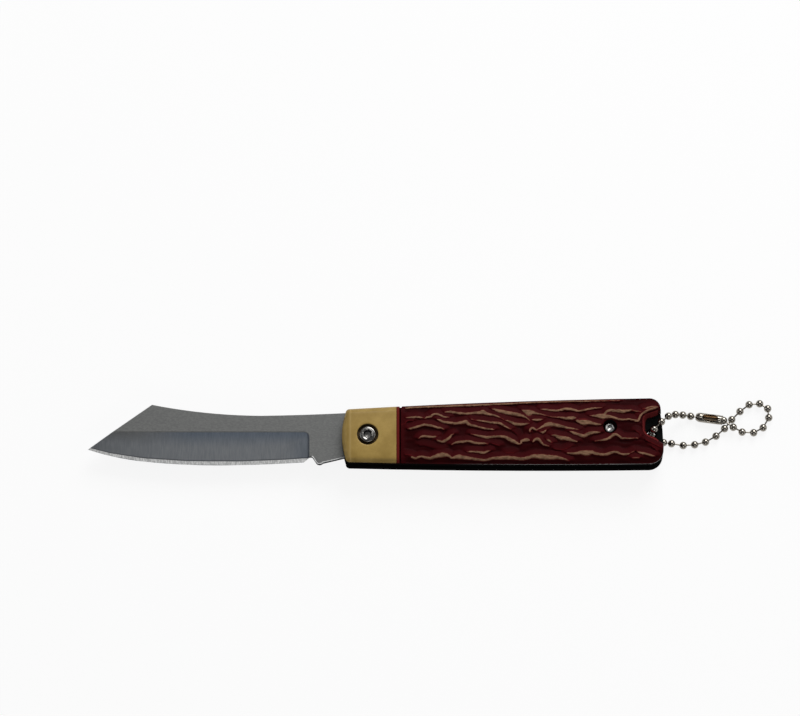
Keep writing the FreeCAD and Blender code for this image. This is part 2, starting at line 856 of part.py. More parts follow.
def make_chain():
    places = ball_places()
    for index in range(len(places)):
        make_ball(index, places)
    links = doc.addObject("Part::Compound", "chain_links")
    links.Label = "chain_links"
    links.Links = [make_link(index, places) for index in range(len(places)) if index != CONNECTED_BALLS[0]]
    NODES.append(links)
    make_connector(places)


def make_pivot_and_fasteners():
    fit = 2 * S.running_clearance
    barrel = S.pivot_barrel_diameter
    make_ring("pivot_barrel", ZERO, ZERO, rear_liner_z, frame_depth, barrel, S.pivot_bore)
    for label, z in (
        ("rear_pivot_washer", slot_z),
        ("front_pivot_washer", front_liner_z - S.washer_thickness),
    ):
        make_ring(label, ZERO, ZERO, z, S.washer_thickness, S.washer_diameter, barrel + fit)
    make_ring("tail_barrel", *tail_screw, rear_liner_z, frame_depth, S.tail_barrel_diameter, S.tail_bore)
    for label, where in (("mid_spring_pin", mid_pin), ("tail_spring_pin", tail_pin)):
        make_ring(label, *where, rear_liner_z, frame_depth, S.pin_diameter)
    for prefix, where in (("pivot", (ZERO, ZERO)), ("tail", tail_screw)):
        screw = screw_sizes(prefix)
        front_z = front_scale_z + screw.floor_thickness
        rear_z = rear_liner_z - screw.floor_thickness
        make_screw(f"front_{prefix}_screw", *where, front_z, screw, downward=False)
        make_screw(f"rear_{prefix}_screw", *where, rear_z, screw, downward=True)


make_blade()
make_back_spring()
make_liner("front_liner", front_liner_z)
make_liner("rear_liner", rear_liner_z)
make_scale("front_scale", front_scale_z, outward=1)
make_scale("rear_scale", S.scale_thickness, outward=-1)
make_pivot_and_fasteners()
make_chain()
doc.recompute()

for thing in doc.Objects:
    if {"Invalid", "Error"} & set(thing.State):
        raise RuntimeError(f"{thing.Label} failed: {thing.State}")
for node in NODES:
    if node.Shape.isNull() or not node.Shape.isValid():
        raise RuntimeError(f"{node.Label} has no valid shape")
    if node.Label != "chain_links" and len(node.Shape.Solids) != 1:
        raise RuntimeError(f"{node.Label} is not one solid")

os.makedirs("parts", exist_ok=True)
for node in NODES:
    node.Shape.exportStep(f"parts/{node.Label}.step")
print(len(NODES), "nodes written")
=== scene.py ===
import math

import bmesh
import bpy
import numpy as np
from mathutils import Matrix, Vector, noise
from mathutils.bvhtree import BVHTree
from mathutils.geometry import delaunay_2d_cdt
from mathutils.kdtree import KDTree


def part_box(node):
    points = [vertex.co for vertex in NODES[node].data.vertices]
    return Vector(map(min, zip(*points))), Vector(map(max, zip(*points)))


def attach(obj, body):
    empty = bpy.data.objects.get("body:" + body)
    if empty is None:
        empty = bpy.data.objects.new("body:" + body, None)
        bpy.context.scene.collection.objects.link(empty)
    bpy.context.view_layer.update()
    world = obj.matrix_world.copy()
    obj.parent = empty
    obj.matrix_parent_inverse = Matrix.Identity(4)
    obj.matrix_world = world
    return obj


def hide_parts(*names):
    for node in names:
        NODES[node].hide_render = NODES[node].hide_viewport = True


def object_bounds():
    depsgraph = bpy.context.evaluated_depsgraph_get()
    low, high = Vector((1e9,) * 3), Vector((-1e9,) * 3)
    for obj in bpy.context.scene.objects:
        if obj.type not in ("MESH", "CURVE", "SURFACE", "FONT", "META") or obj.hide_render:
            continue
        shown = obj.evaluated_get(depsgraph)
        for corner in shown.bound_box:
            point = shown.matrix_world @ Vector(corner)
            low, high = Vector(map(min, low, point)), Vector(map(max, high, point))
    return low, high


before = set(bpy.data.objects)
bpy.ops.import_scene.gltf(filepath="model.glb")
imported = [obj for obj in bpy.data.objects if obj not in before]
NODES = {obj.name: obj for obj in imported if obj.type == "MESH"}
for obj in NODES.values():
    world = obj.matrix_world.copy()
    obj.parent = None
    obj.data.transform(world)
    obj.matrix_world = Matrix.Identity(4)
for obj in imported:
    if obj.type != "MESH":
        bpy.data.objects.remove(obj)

CAD_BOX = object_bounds()
MM = 0.001

# Places on the knife, read from the frame: the pivot screw and the tail screw.
PIVOT = sum(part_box("front_pivot_screw"), Vector()) / 2
TAIL = sum(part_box("front_tail_screw"), Vector()) / 2

# The photograph: the pixel of the pivot on the upper face, and pixels per metre along and across.
PHOTO_PIVOT = (367.6, 434.0)
PHOTO_ALONG = 3213.0
PHOTO_ACROSS = 3136.0

# Points this close are one, a face this close to a height lies on it, and shorter edges are dropped.
WELD = 1e-7
ON_LEVEL = 1e-6
NO_LENGTH = 1e-8

# The moulded scales: steps between their points, and how their heights are taken from the CAD face.
GRID_STEP = 0.18 * MM
BOLSTER_STEP = 0.36 * MM
EDGE_STEP = 0.2 * MM
CLEAR_SHARE = 0.6
CAST_INSET = 0.02 * MM
CAST_RISE = 1.0 * MM
SMOOTHING = 2
RING_POINTS = 96
SCALE_SHARP = math.radians(62)

# The screws' recesses: radius and bore radius, the mouth's rounding in shares of its lip, and the depth
# where their painted shade starts.
PIVOT_RECESS = (3.3 * MM, 1.43 * MM)
TAIL_RECESS = (2.2 * MM, 1.08 * MM)
MOUTH_LIP = 0.3 * MM
MOUTH_SHARES = ((0.45, 0.13), (0.12, 0.5), (0.0, 1.0))
RECESS_START = 0.3 * MM
RECESS_RELIEF = 0.8

# The seam between bolster and grip, and the CAD groove there that the heights pass over.
SEAM = PIVOT.x + 9.85 * MM
SEAM_WIDTH = 0.5 * MM
SEAM_DEPTH = 0.7 * MM
SEAM_COLUMN_SHARES = (-0.9, -0.45, -0.1, 0.2, 0.5, 0.8, 1.1, 1.5)
GROOVE_START = SEAM - 0.2 * MM
GROOVE_END = SEAM + 0.8 * MM

# The red band before the seam and the plain strip after it.
RED_EDGE = SEAM - 0.9 * MM
RED_STEP = 0.2 * MM
RED_FADE = 0.15 * MM
PLAIN_STRIP = 0.8 * MM
PLAIN_FADE = 1.9 * MM
PLAIN_RELIEF = 0.55

# The bolster's crease with the width of its painted highlight, the scales' crown, and the lip of the tail
# notch, whose walls get painted light.
CREASE = PIVOT.x - 5.5 * MM
CREASE_WIDTH = 0.3 * MM
CREASE_COLUMNS = (-0.15 * MM, -0.05 * MM, 0.05 * MM, 0.15 * MM)
CROWN = 0.65 * MM
NOTCH_START = TAIL.x + 9.0 * MM
NOTCH_END = 1.7 * MM
NOTCH_SIDES = (-4.0 * MM, 9.5 * MM)
LIP_START = 0.3 * MM
LIP_FADE = 0.8 * MM

# The sides painted black as shade, the carving's fade above them, and the painted highlight along the
# belly's rim.
SIDE_HEIGHT = 2.2 * MM
REAR_SIDE_HEIGHT = 4.0 * MM
SIDE_FADE = 1.5 * MM
SIDE_TILT = 0.25
RIM_FADE = 40.0 * MM
RIM_DROP = 4.0 * MM

# The bark: its depth, and a ridge's gentle slope towards the back and steep one towards the belly.
BARK_DEPTH = 0.75 * MM
UPPER_SLOPE = 2.2 * MM
UPPER_REST = 0.3
LOWER_SLOPE = 0.34 * MM
RAGGED_REACH = 0.1 * MM
# Noise in features per metre along and across, and its layer.
VALLEY_NOISE = (260.0, 700.0, 0.0)
RAGGED_NOISE = (1300.0, 2100.0, 7.0)
# A ridge's least and middle width in pixels, and how much its width swells about the middle one.
RIDGE_LEAST = 1.0
RIDGE_MIDDLE = 2.2
RIDGE_SWELL = 0.5

# The blade: broken corners, honed strip, end of the ground bevel, and the rim at choil and kick that gets a
# painted highlight.
BLADE_CHAMFER = 0.14 * MM
HONED_HALF = 0.205 * MM
BEVEL_END = PIVOT.x - 18.2 * MM
BRIGHT_RIM = 0.26 * MM
KICK_LEFT = PIVOT.x - 17.7 * MM
KICK_RIGHT = PIVOT.x - 6.3 * MM
KICK_TOP = PIVOT.y - 3.0 * MM
FLAT_NORMAL = 0.9999
MERGE_ANGLE = math.radians(0.2)
BLADE_SHARP = math.radians(40)

# The screws: head radius and height, edge rounding, socket width and depth, shank radius, in millimetres.
PIVOT_SCREW = (2.5, 1.8, 0.35, 2.5, 1.0, 1.25)
TAIL_SCREW = (1.5, 0.9, 0.2, 1.5, 0.5, 0.9)
SCREW_POINTS = 48
SCREW_SHARP = math.radians(28)

# The chain's coupling: its sheet, rounded end, crimp, slit, and the window's middle and half length.
COUPLED_BALLS = ("chain_ball_08", "chain_ball_09")
SHEET_LIP = 1.3 * MM
SHEET_GAP = 0.3 * MM
SHEET_RADIUS = 1.5 * MM
SHEET_WALL = 0.2 * MM
END_ROUND = 1.5 * MM
CRIMP_DEPTH = 0.06 * MM
CRIMP_WIDTH = 0.35 * MM
SHEET_SLIT = 0.35 * MM
SHEET_OPEN = 2.5 * MM
WINDOW_SHARES = (0.53, 0.29)
SHEET_ROWS = 60
SHEET_TURNS = 48

# Broken edges on the nodes that stay as they are.
LINER_EDGE = 0.1 * MM
SPRING_EDGE = 0.08 * MM
PIN_EDGE = 0.05 * MM
EDGE_ANGLE = math.radians(40)

# The bark's ridges, followed in the photograph: how far the paint is wiped off each ridge, then
# points of pixel across, pixel down and width in pixels.
RIDGES = (
    (0.9, (406, 407.6, 1.9), (412, 406.9, 2.1), (430, 406.1, 2.1), (450, 405.4, 2.1), (466, 404.9, 2.1),
        (490, 403.9, 2), (510, 403, 2), (530, 401.8, 1.9), (550, 401, 1.9), (575, 400.5, 1.8),
        (600, 400.1, 1.7), (620, 399.8, 1.4)),
    (0.9, (406, 417.5, 1.4), (412, 417.3, 2), (417, 416.8, 2), (420, 417.2, 1.8), (424, 418, 1.3)),
    (1.0, (424.5, 418.3, 1.2), (428, 417, 2), (431, 416.5, 2), (432, 415, 2), (434, 414, 2), (438, 414, 2),
        (441, 415.3, 2), (444, 416.7, 1.8), (449, 417, 1.2)),
    (0.3, (401, 426, 1.4), (402, 424, 1.5), (405, 423.5, 1.5), (406, 421.5, 1.5), (408, 420.3, 1.4),
        (413, 420.3, 1)),
    (1.0, (408, 428.5, 1.2), (411, 428.3, 2), (415, 427.2, 2.2), (420, 425.8, 2.2), (424, 424.6, 2.2),
        (428, 425, 2.2), (433, 426, 2.2), (437, 427.3, 2.1), (441, 428, 1.8), (444, 429.3, 1.2)),
    (0.9, (418.5, 438.5, 1.2), (421, 436.8, 1.9), (424, 436, 2.2), (429, 436.6, 2.2), (434, 436.7, 2),
        (437, 436.3, 1.3)),
    (1.0, (437, 440, 1.6), (439, 440.8, 2), (442, 441.5, 2.2), (445, 440.5, 2.5), (448, 438.8, 2.5),
        (450, 437, 2), (451.5, 435, 1.6), (453.5, 433.8, 1)),
    (1.0, (445, 412, 1.4), (449, 411.5, 2), (453, 412, 2.2), (458, 412.7, 2.2), (463, 413.2, 2.2),
        (467, 413.4, 2.2), (472, 412.8, 2.2), (476, 412.5, 2.4), (480, 412.5, 3), (483, 411.8, 3.5),
        (487, 413.5, 2.6), (491, 414.5, 2.2), (495, 415.3, 1.9), (499, 416.8, 1.5), (501, 418, 1.2),
        (504, 419.5, 0.8)),
    (1.0, (505, 420, 1), (508, 420.8, 1.6), (511, 422, 2.1), (514, 423.3, 2.5), (517, 424.2, 2.8),
        (521, 424.2, 2.5), (525, 423.9, 2), (529, 423.4, 1.5)),
    (1.0, (437, 419, 1.2), (440, 420.2, 2), (443, 421.8, 2.3), (447, 422.2, 2.3), (451, 422.8, 2.3),
        (455, 423.3, 2.3), (459, 422.8, 2.5), (463, 422.3, 2.9), (466, 421.7, 3.2), (468, 423.5, 2.8),
        (471, 425, 2.4), (475, 425.8, 2.1), (480, 427.3, 2), (485, 428.3, 1.9), (490, 428.9, 1.8),
        (494, 429.5, 1.2)),
    (1.0, (451.5, 444.5, 1.2), (454, 443, 1.8), (458, 442, 2.2), (463, 441.5, 2.2), (467, 441, 2.2),
        (470, 441.2, 2.2), (473, 442.3, 2.2), (478, 443, 2.1), (484, 443.3, 1.8), (488, 443.6, 1.2)),
    (0.4, (492, 443.3, 1.2), (496, 444.2, 1.4), (499, 445.3, 1)),
    (1.0, (412, 456.8, 2), (415, 457.8, 2), (418, 457, 2), (421, 456.2, 2), (424, 456.8, 2.1),
        (428, 457.6, 2.3), (431, 457.6, 2.5), (434, 456.5, 2.8), (438, 455.2, 3.3), (442, 454.5, 3.6),
        (446, 454.6, 3), (449, 455.6, 2.4), (451, 457.3, 2), (453, 457.5, 2.2), (456, 456.6, 2.9),
        (460, 456.5, 3.5), (464, 457, 3.1), (468, 457.6, 2.8), (474, 458.4, 2.4), (480, 459.3, 2.1),
        (485, 459.6, 2), (488, 459, 2.2), (493, 457.8, 2.5), (500, 457.6, 2.8), (508, 457.2, 3),
        (515, 457.8, 2.8), (522, 458.4, 2.6), (527, 457.5, 2.8), (531, 456.3, 3), (535, 455.8, 3.4),
        (540, 456.2, 3.6), (550, 456.8, 3.6), (556, 457, 3), (560, 457.6, 2.5), (565, 458.8, 1.8),
        (569, 460.3, 1)),
    (0.4, (405, 454, 1.2), (410, 454.6, 1.4), (413, 455.8, 1.2)),
    (0.9, (471, 419, 1.2), (475, 420, 1.5), (480, 420.6, 1.7), (485, 421.3, 1.9), (490, 422, 2.1),
        (494, 422.5, 2.3), (499, 423, 2.3), (502, 424.3, 2.2), (505, 426, 2), (508, 427.8, 1.7),
        (511, 429, 1.3)),
    (0.0, (511, 429, 1.2), (515, 432, 1.4), (517, 434.3, 1.4), (518, 436, 1)),
    (1.0, (471, 434, 1), (475, 434.8, 1.6), (480, 436, 2.2), (485, 437, 2.5), (488, 437.3, 2.5),
        (492, 436.7, 2.3), (497, 436.4, 2.2), (500, 436.2, 2.2), (505, 437, 2.5), (508, 438.5, 2.9),
        (511, 440, 3.2), (514, 441.5, 2.8), (517, 443, 2.2), (519, 443.8, 1.8), (521, 443, 1.8),
        (521.5, 441, 2.2), (524, 440.2, 2.7), (527, 439.6, 3), (529, 439.8, 1.8)),
    (0.9, (467, 451.5, 1.2), (472, 451.4, 1.8), (478, 451.7, 2.2), (481, 452.3, 2.5), (484, 452.6, 2.4),
        (487, 451.3, 2), (490, 450.5, 1.3)),
    (0.35, (506, 452.5, 1), (510, 452.3, 1.3), (514, 452.5, 1)),
    (1.0, (492, 408.5, 1.2), (495, 409.3, 2), (498, 410.5, 2.6), (503, 411.5, 3), (508, 412.6, 3.2),
        (513, 413.4, 3.1), (518, 414.5, 3), (522, 415.4, 2.5), (525, 416.8, 2), (528, 418.8, 1.5),
        (530, 420.5, 1)),
    (1.0, (522, 409.8, 1), (525, 411, 2.8), (529, 412.5, 4.5), (532, 412, 3.4), (535, 412.7, 2.3),
        (539, 413.6, 1.9), (543, 414.4, 1.5), (547, 415.4, 1.2), (551, 416.5, 0.9), (555, 417, 1.2),
        (560, 417.2, 1.7), (563, 417.8, 2), (567, 418.2, 2.6), (572, 417.8, 3), (576, 417.8, 1.5)),
    (0.9, (532, 419.5, 1.4), (536, 419.8, 2.2), (540, 419.5, 2), (543, 419.2, 1)),
    (1.0, (536, 430, 1), (540, 428, 1.7), (543, 426.3, 2.2), (546, 424.7, 3), (549, 424, 3.5),
        (553, 424.5, 3.3), (558, 425.4, 3), (563, 426.5, 2.4), (567, 427.6, 2), (572, 428.4, 1.8),
        (576, 429, 1.5), (579, 430, 1.2)),
    (0.9, (530, 432, 1.4), (530, 429.5, 2), (532.5, 427.8, 2.2), (535, 429.3, 2), (537, 430.5, 1.2)),
    (0.8, (540, 431.8, 1.2), (543, 432.3, 2.2), (545, 431, 2), (546.5, 429.5, 1.2)),
    (1.0, (533, 441.5, 1.6), (535, 439.5, 2.4), (537, 438.8, 2.8), (539, 439.5, 2.6), (541, 441.8, 2.2),
        (543, 444, 1.9), (546, 445.2, 1.7), (549, 446, 1.2)),
    (0.8, (546.5, 439, 1.2), (549, 440.5, 2.2), (552, 442.5, 1.2)),
    (1.0, (551, 435, 1.4), (555, 435.3, 2.2), (558, 436.7, 2.9), (561, 437.8, 3.5), (565, 438.2, 3.3),
        (569, 439, 3), (573, 440.5, 2.2), (577, 441.3, 1.5)),
    (1.0, (570, 431.3, 1), (574, 432.8, 2.4), (578, 434.2, 2.6), (581, 435.3, 2.8), (584, 435.9, 3),
        (587, 434.3, 2.9), (590, 432.9, 2.8), (594, 432.4, 2.4), (600, 432, 1.6)),
    (1.0, (541, 409, 1), (546, 409.3, 1.8), (552, 410, 2), (557, 410.4, 2), (561, 409.6, 2.1),
        (565, 408.7, 2.3), (570, 408.8, 2.5), (575, 410, 2.1), (579, 410.8, 1.8), (583, 410, 1.9),
        (588, 409, 2), (593, 408, 2), (598, 407.7, 1.5), (602, 407.2, 1)),
    (1.0, (577, 420.5, 2), (580, 421.8, 3), (585, 422.3, 4), (589, 422.2, 3.2), (593, 423.2, 2.6),
        (597, 424, 2.2), (601, 424.3, 1.4)),
    (0.35, (579, 419, 1.4), (584, 418.7, 1.8), (588, 419, 1.2)),
    (1.0, (590, 415.5, 1), (594, 415.6, 2), (598, 415.6, 3), (602, 416.2, 4), (606, 416.3, 3.2),
        (611, 416.6, 2.5), (615, 417.6, 2.2), (619, 419, 2), (624, 419.4, 1.8), (629, 419, 1.8),
        (634, 420, 2), (638, 420.7, 2), (639.5, 418, 2), (640.5, 415.8, 2), (643, 413, 2), (647, 410.5, 2),
        (651, 408.8, 2), (655, 407.6, 2), (658, 406.5, 1.6)),
    (1.0, (602, 415.5, 1.6), (605, 413.5, 2), (607, 411.3, 2.2), (610, 410.2, 2.4), (614, 410.3, 2.6),
        (619, 410.6, 2.8), (623, 411.2, 3), (627, 410.6, 2.2), (632, 410, 1.6), (636, 410.8, 1.4),
        (641, 411.5, 1)),
    (0.8, (643, 408.5, 1.3), (647, 407.8, 1.8), (651, 406.5, 1.8), (656, 405.5, 1.3)),
    (1.0, (595, 441, 1), (599, 440.3, 1.5), (603, 439.8, 2), (607, 439, 2.2), (610, 437.5, 2.4),
        (613, 435, 2.6), (616, 434.3, 2.4), (619, 436, 2.1), (621.5, 438, 2), (625, 438, 1.8),
        (630, 438.2, 1.6), (635, 437.9, 1.4), (638, 438.3, 1)),
    (1.0, (567, 452.6, 1.5), (572, 453.2, 2), (577, 453, 2.6), (581, 452.3, 3.2), (587, 452.8, 4),
        (592, 452, 3), (595, 453, 2.6), (600, 454, 2.4), (605, 454.2, 2.5), (609, 453, 2.6),
        (613, 451.8, 2.3), (617, 451.9, 2.1), (620, 453.3, 2), (624, 454, 2), (628, 453.5, 1.8),
        (631, 452.3, 1.4), (634, 450.8, 1)),
    (0.9, (637, 451, 1.2), (640, 452.5, 2), (644, 453, 2.3), (648, 453.9, 2.2), (652, 455.3, 1.9),
        (654.5, 455.5, 1.2)),
    (0.8, (632, 457.3, 1.2), (635, 457.4, 1.8), (639, 457.2, 1.2)),
    (0.3, (652, 446, 1), (655, 448, 1.3), (657, 450, 1)),
    (0.35, (554, 448.3, 1), (560, 449.3, 1.4), (563, 449.3, 1.4), (566, 448.3, 1.3), (570, 446.5, 1)),
    (0.35, (636, 430.5, 1), (639, 432.5, 1.3), (641, 435.5, 1)),
    (0.5, (646, 439.5, 1), (652, 442.5, 1.2), (658, 445.5, 1.2), (662, 447, 1)),
    (0.0, (420, 444.5, 1.6), (424, 444.5, 2), (430, 446, 2.2), (436, 447.5, 2), (443, 448.5, 1.4)),
)


def smooth_step(t):
    t = np.clip(t, 0.0, 1.0)
    return t * t * (3.0 - 2.0 * t)


def from_photo(across, down):
    """The point of the upper face at a pixel of the photograph."""
    return (PIVOT.x + (across - PHOTO_PIVOT[0]) / PHOTO_ALONG,
            PIVOT.y - (down - PHOTO_PIVOT[1]) / PHOTO_ACROSS)


def curve_through(points, steps=4):
    """A smooth line through points, which keeps its first and last one."""
    points = np.asarray(points, float)
    padded = np.vstack([2 * points[0] - points[1], points, 2 * points[-1] - points[-2]])
    line = []
    for before, start, end, after in zip(padded, padded[1:], padded[2:], padded[3:]):
        for t in np.arange(steps) / steps:
            line.append(0.5 * (2 * start + (end - before) * t
                               + (2 * before - 5 * start + 4 * end - after) * t ** 2
                               + (3 * start - before - 3 * end + after) * t ** 3))
    return np.array(line + [points[-1]])


def ridge_width(pixels):
    """A ridge's width in metres: wide stretches swell and thin ends draw out, as on a leaf."""
    return max(RIDGE_LEAST, pixels * (pixels / RIDGE_MIDDLE) ** RIDGE_SWELL) / PHOTO_ALONG


def wander(x, y, along, across, layer):
    """Noise over a scale's face."""
    return np.array([noise.noise(Vector((a * along, b * across, layer))) for a, b in zip(x, y)])


def beside(x, y, line):
    """Each point's distance from a line, the line's width there, and 1 to -1 for above or below it."""
    best = np.full(len(x), np.inf)
    width = np.zeros(len(x))
    above = np.zeros(len(x))
    for start, end in zip(line, line[1:]):
        run = end - start
        share = np.clip(((x - start[0]) * run[0] + (y - start[1]) * run[1])
                        / max(run[0] ** 2 + run[1] ** 2, 1e-12), 0.0, 1.0)
        off_x = x - start[0] - share * run[0]
        off_y = y - start[1] - share * run[1]
        distance = np.hypot(off_x, off_y)
        closer = distance < best
        best = np.where(closer, distance, best)
        width = np.where(closer, start[2] + share * run[2], width)
        above = np.where(closer, off_y / np.maximum(distance, 1e-9), above)
    return best, width, above


def bark(x, y):
    """Relief from 0 in a valley to 1 on a ridge, and how far the paint is wiped off, at each point."""
    ragged = wander(x, y, *RAGGED_NOISE)
    relief = np.clip(0.12 + 0.3 * wander(x, y, *VALLEY_NOISE), 0.0, 0.4)
    wiped = np.zeros(len(x))
    for wipe, *points in RIDGES:
        line = curve_through([(*from_photo(a, b), ridge_width(w)) for a, b, w in points])
        margin = UPPER_SLOPE + line[:, 2].max()
        near = np.flatnonzero((x > line[:, 0].min() - margin) & (x < line[:, 0].max() + margin)
                              & (y > line[:, 1].min() - margin) & (y < line[:, 1].max() + margin))
        distance, width, above = beside(x[near], y[near], line)
        distance = distance + RAGGED_REACH * ragged[near]
        off = distance - 0.35 * width
        top = 0.5 + 0.5 * min(1.0, wipe + 0.15)
        lower = 1.0 - smooth_step(off / LOWER_SLOPE)
        fall = np.clip(off / UPPER_SLOPE, 0.0, 1.0)
        upper = (1.0 - (1.0 - UPPER_REST) * fall) * (1.0 - smooth_step((fall - 0.7) / 0.3))
        side = smooth_step(0.5 + 0.9 * above)
        relief[near] = np.maximum(relief[near], top * (lower + (upper - lower) * side))
        drawn_out = 0.5 + 0.5 * smooth_step(width * PHOTO_ALONG - RIDGE_LEAST)
        faded = smooth_step((distance - 0.2 * width) / (0.5 * width))
        wiped[near] = np.maximum(wiped[near], wipe * drawn_out * (1.0 - faded))
    return relief, wiped


def longest_edge(mesh, level):
    """The longest edge loop of a solid's flat face at a height, anticlockwise."""
    bm = bmesh.new()
    bm.from_mesh(mesh)
    bmesh.ops.remove_doubles(bm, verts=bm.verts, dist=WELD)
    flat = {f for f in bm.faces if all(abs(v.co.z - level) < ON_LEVEL for v in f.verts)}
    follow = {}
    for edge in bm.edges:
        if sum(f in flat for f in edge.link_faces) == 1:
            a, b = edge.verts
            follow.setdefault(a, []).append(b)
            follow.setdefault(b, []).append(a)
    loops = []
    while follow:
        start = next(iter(follow))
        loop, last = [start], None
        while True:
            ahead = [v for v in follow[loop[-1]] if v is not last]
            last = loop[-1]
            if ahead[0] is start:
                break
            loop.append(ahead[0])
        for v in loop:
            follow.pop(v)
        points = np.array([(v.co.x, v.co.y) for v in loop])
        turn = np.roll(points, -1, axis=0)
        if np.sum(points[:, 0] * turn[:, 1] - turn[:, 0] * points[:, 1]) < 0:
            points = points[::-1]
        loops.append(points)
    bm.free()
    return max(loops, key=lambda points: np.ptp(points[:, 0]))


def divided(loop, step):
    """A loop with its long runs cut into short ones."""
    points = []
    for start, end in zip(loop, np.roll(loop, -1, axis=0)):
        count = max(1, math.ceil(np.hypot(*(end - start)) / step))
        points.extend(start + (end - start) * k / count for k in range(count))
    return np.array(points)


def ring(centre, radius):
    turn = np.arange(RING_POINTS) * 2 * math.pi / RING_POINTS
    return np.stack([centre.x + radius * np.cos(turn), centre.y + radius * np.sin(turn)], axis=1)


def inside(points, loop):
    """Which points lie inside a closed loop."""
    odd = np.zeros(len(points), bool)
    for (ax, ay), (bx, by) in zip(loop, np.roll(loop, -1, axis=0)):
        if ay == by:
            continue
        crosses = (ay > points[:, 1]) != (by > points[:, 1])
        reach = ax + (points[:, 1] - ay) * (bx - ax) / (by - ay)
        odd ^= crosses & (points[:, 0] < reach)
    return odd


def plane_mesh(loops, extra):
    """Triangles between the first loop and the others, with extra points in them."""
    points = np.vstack([*loops, extra])
    edges, first = [], 0
    for loop in loops:
        count = len(loop)
        edges.extend((first + k, first + (k + 1) % count) for k in range(count))
        first += count
    _, _, faces, origins, _, _ = delaunay_2d_cdt([Vector(p) for p in points], edges, [], 0, 1e-9)
    back = np.array([origin[0] for origin in origins])
    triangles = back[np.array(faces)]
    middle = points[triangles].mean(axis=1)
    keep = inside(middle, loops[0])
    for loop in loops[1:]:
        keep &= ~inside(middle, loop)
    return points, triangles[keep]


def grid_points(loop, holes, step, low, high):
    """A triangular grid inside a loop and clear of its holes, between two distances along."""
    rows = np.arange(loop[:, 1].min(), loop[:, 1].max(), step * math.sqrt(0.75))
    points = []
    for k, y in enumerate(rows):
        across = np.arange(low, high, step) + (k % 2) * step / 2
        points.append(np.stack([across, np.full(len(across), y)], axis=1))
    points = np.vstack(points)
    points = points[inside(points, loop)]
    edge = np.vstack([loop, *holes])
    tree = KDTree(len(edge))
    for k, p in enumerate(edge):
        tree.insert((p[0], p[1], 0.0), k)
    tree.balance()
    clear = [tree.find((p[0], p[1], 0.0))[2] > CLEAR_SHARE * step for p in points]
    points = points[clear]
    for hole in holes:
        points = points[~inside(points, hole)]
    return points


def seat_depth(screw, head_height):
    """How far a screw's seat lies under the front scale's face."""
    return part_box("front_scale")[1].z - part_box(screw)[1].z + head_height * MM


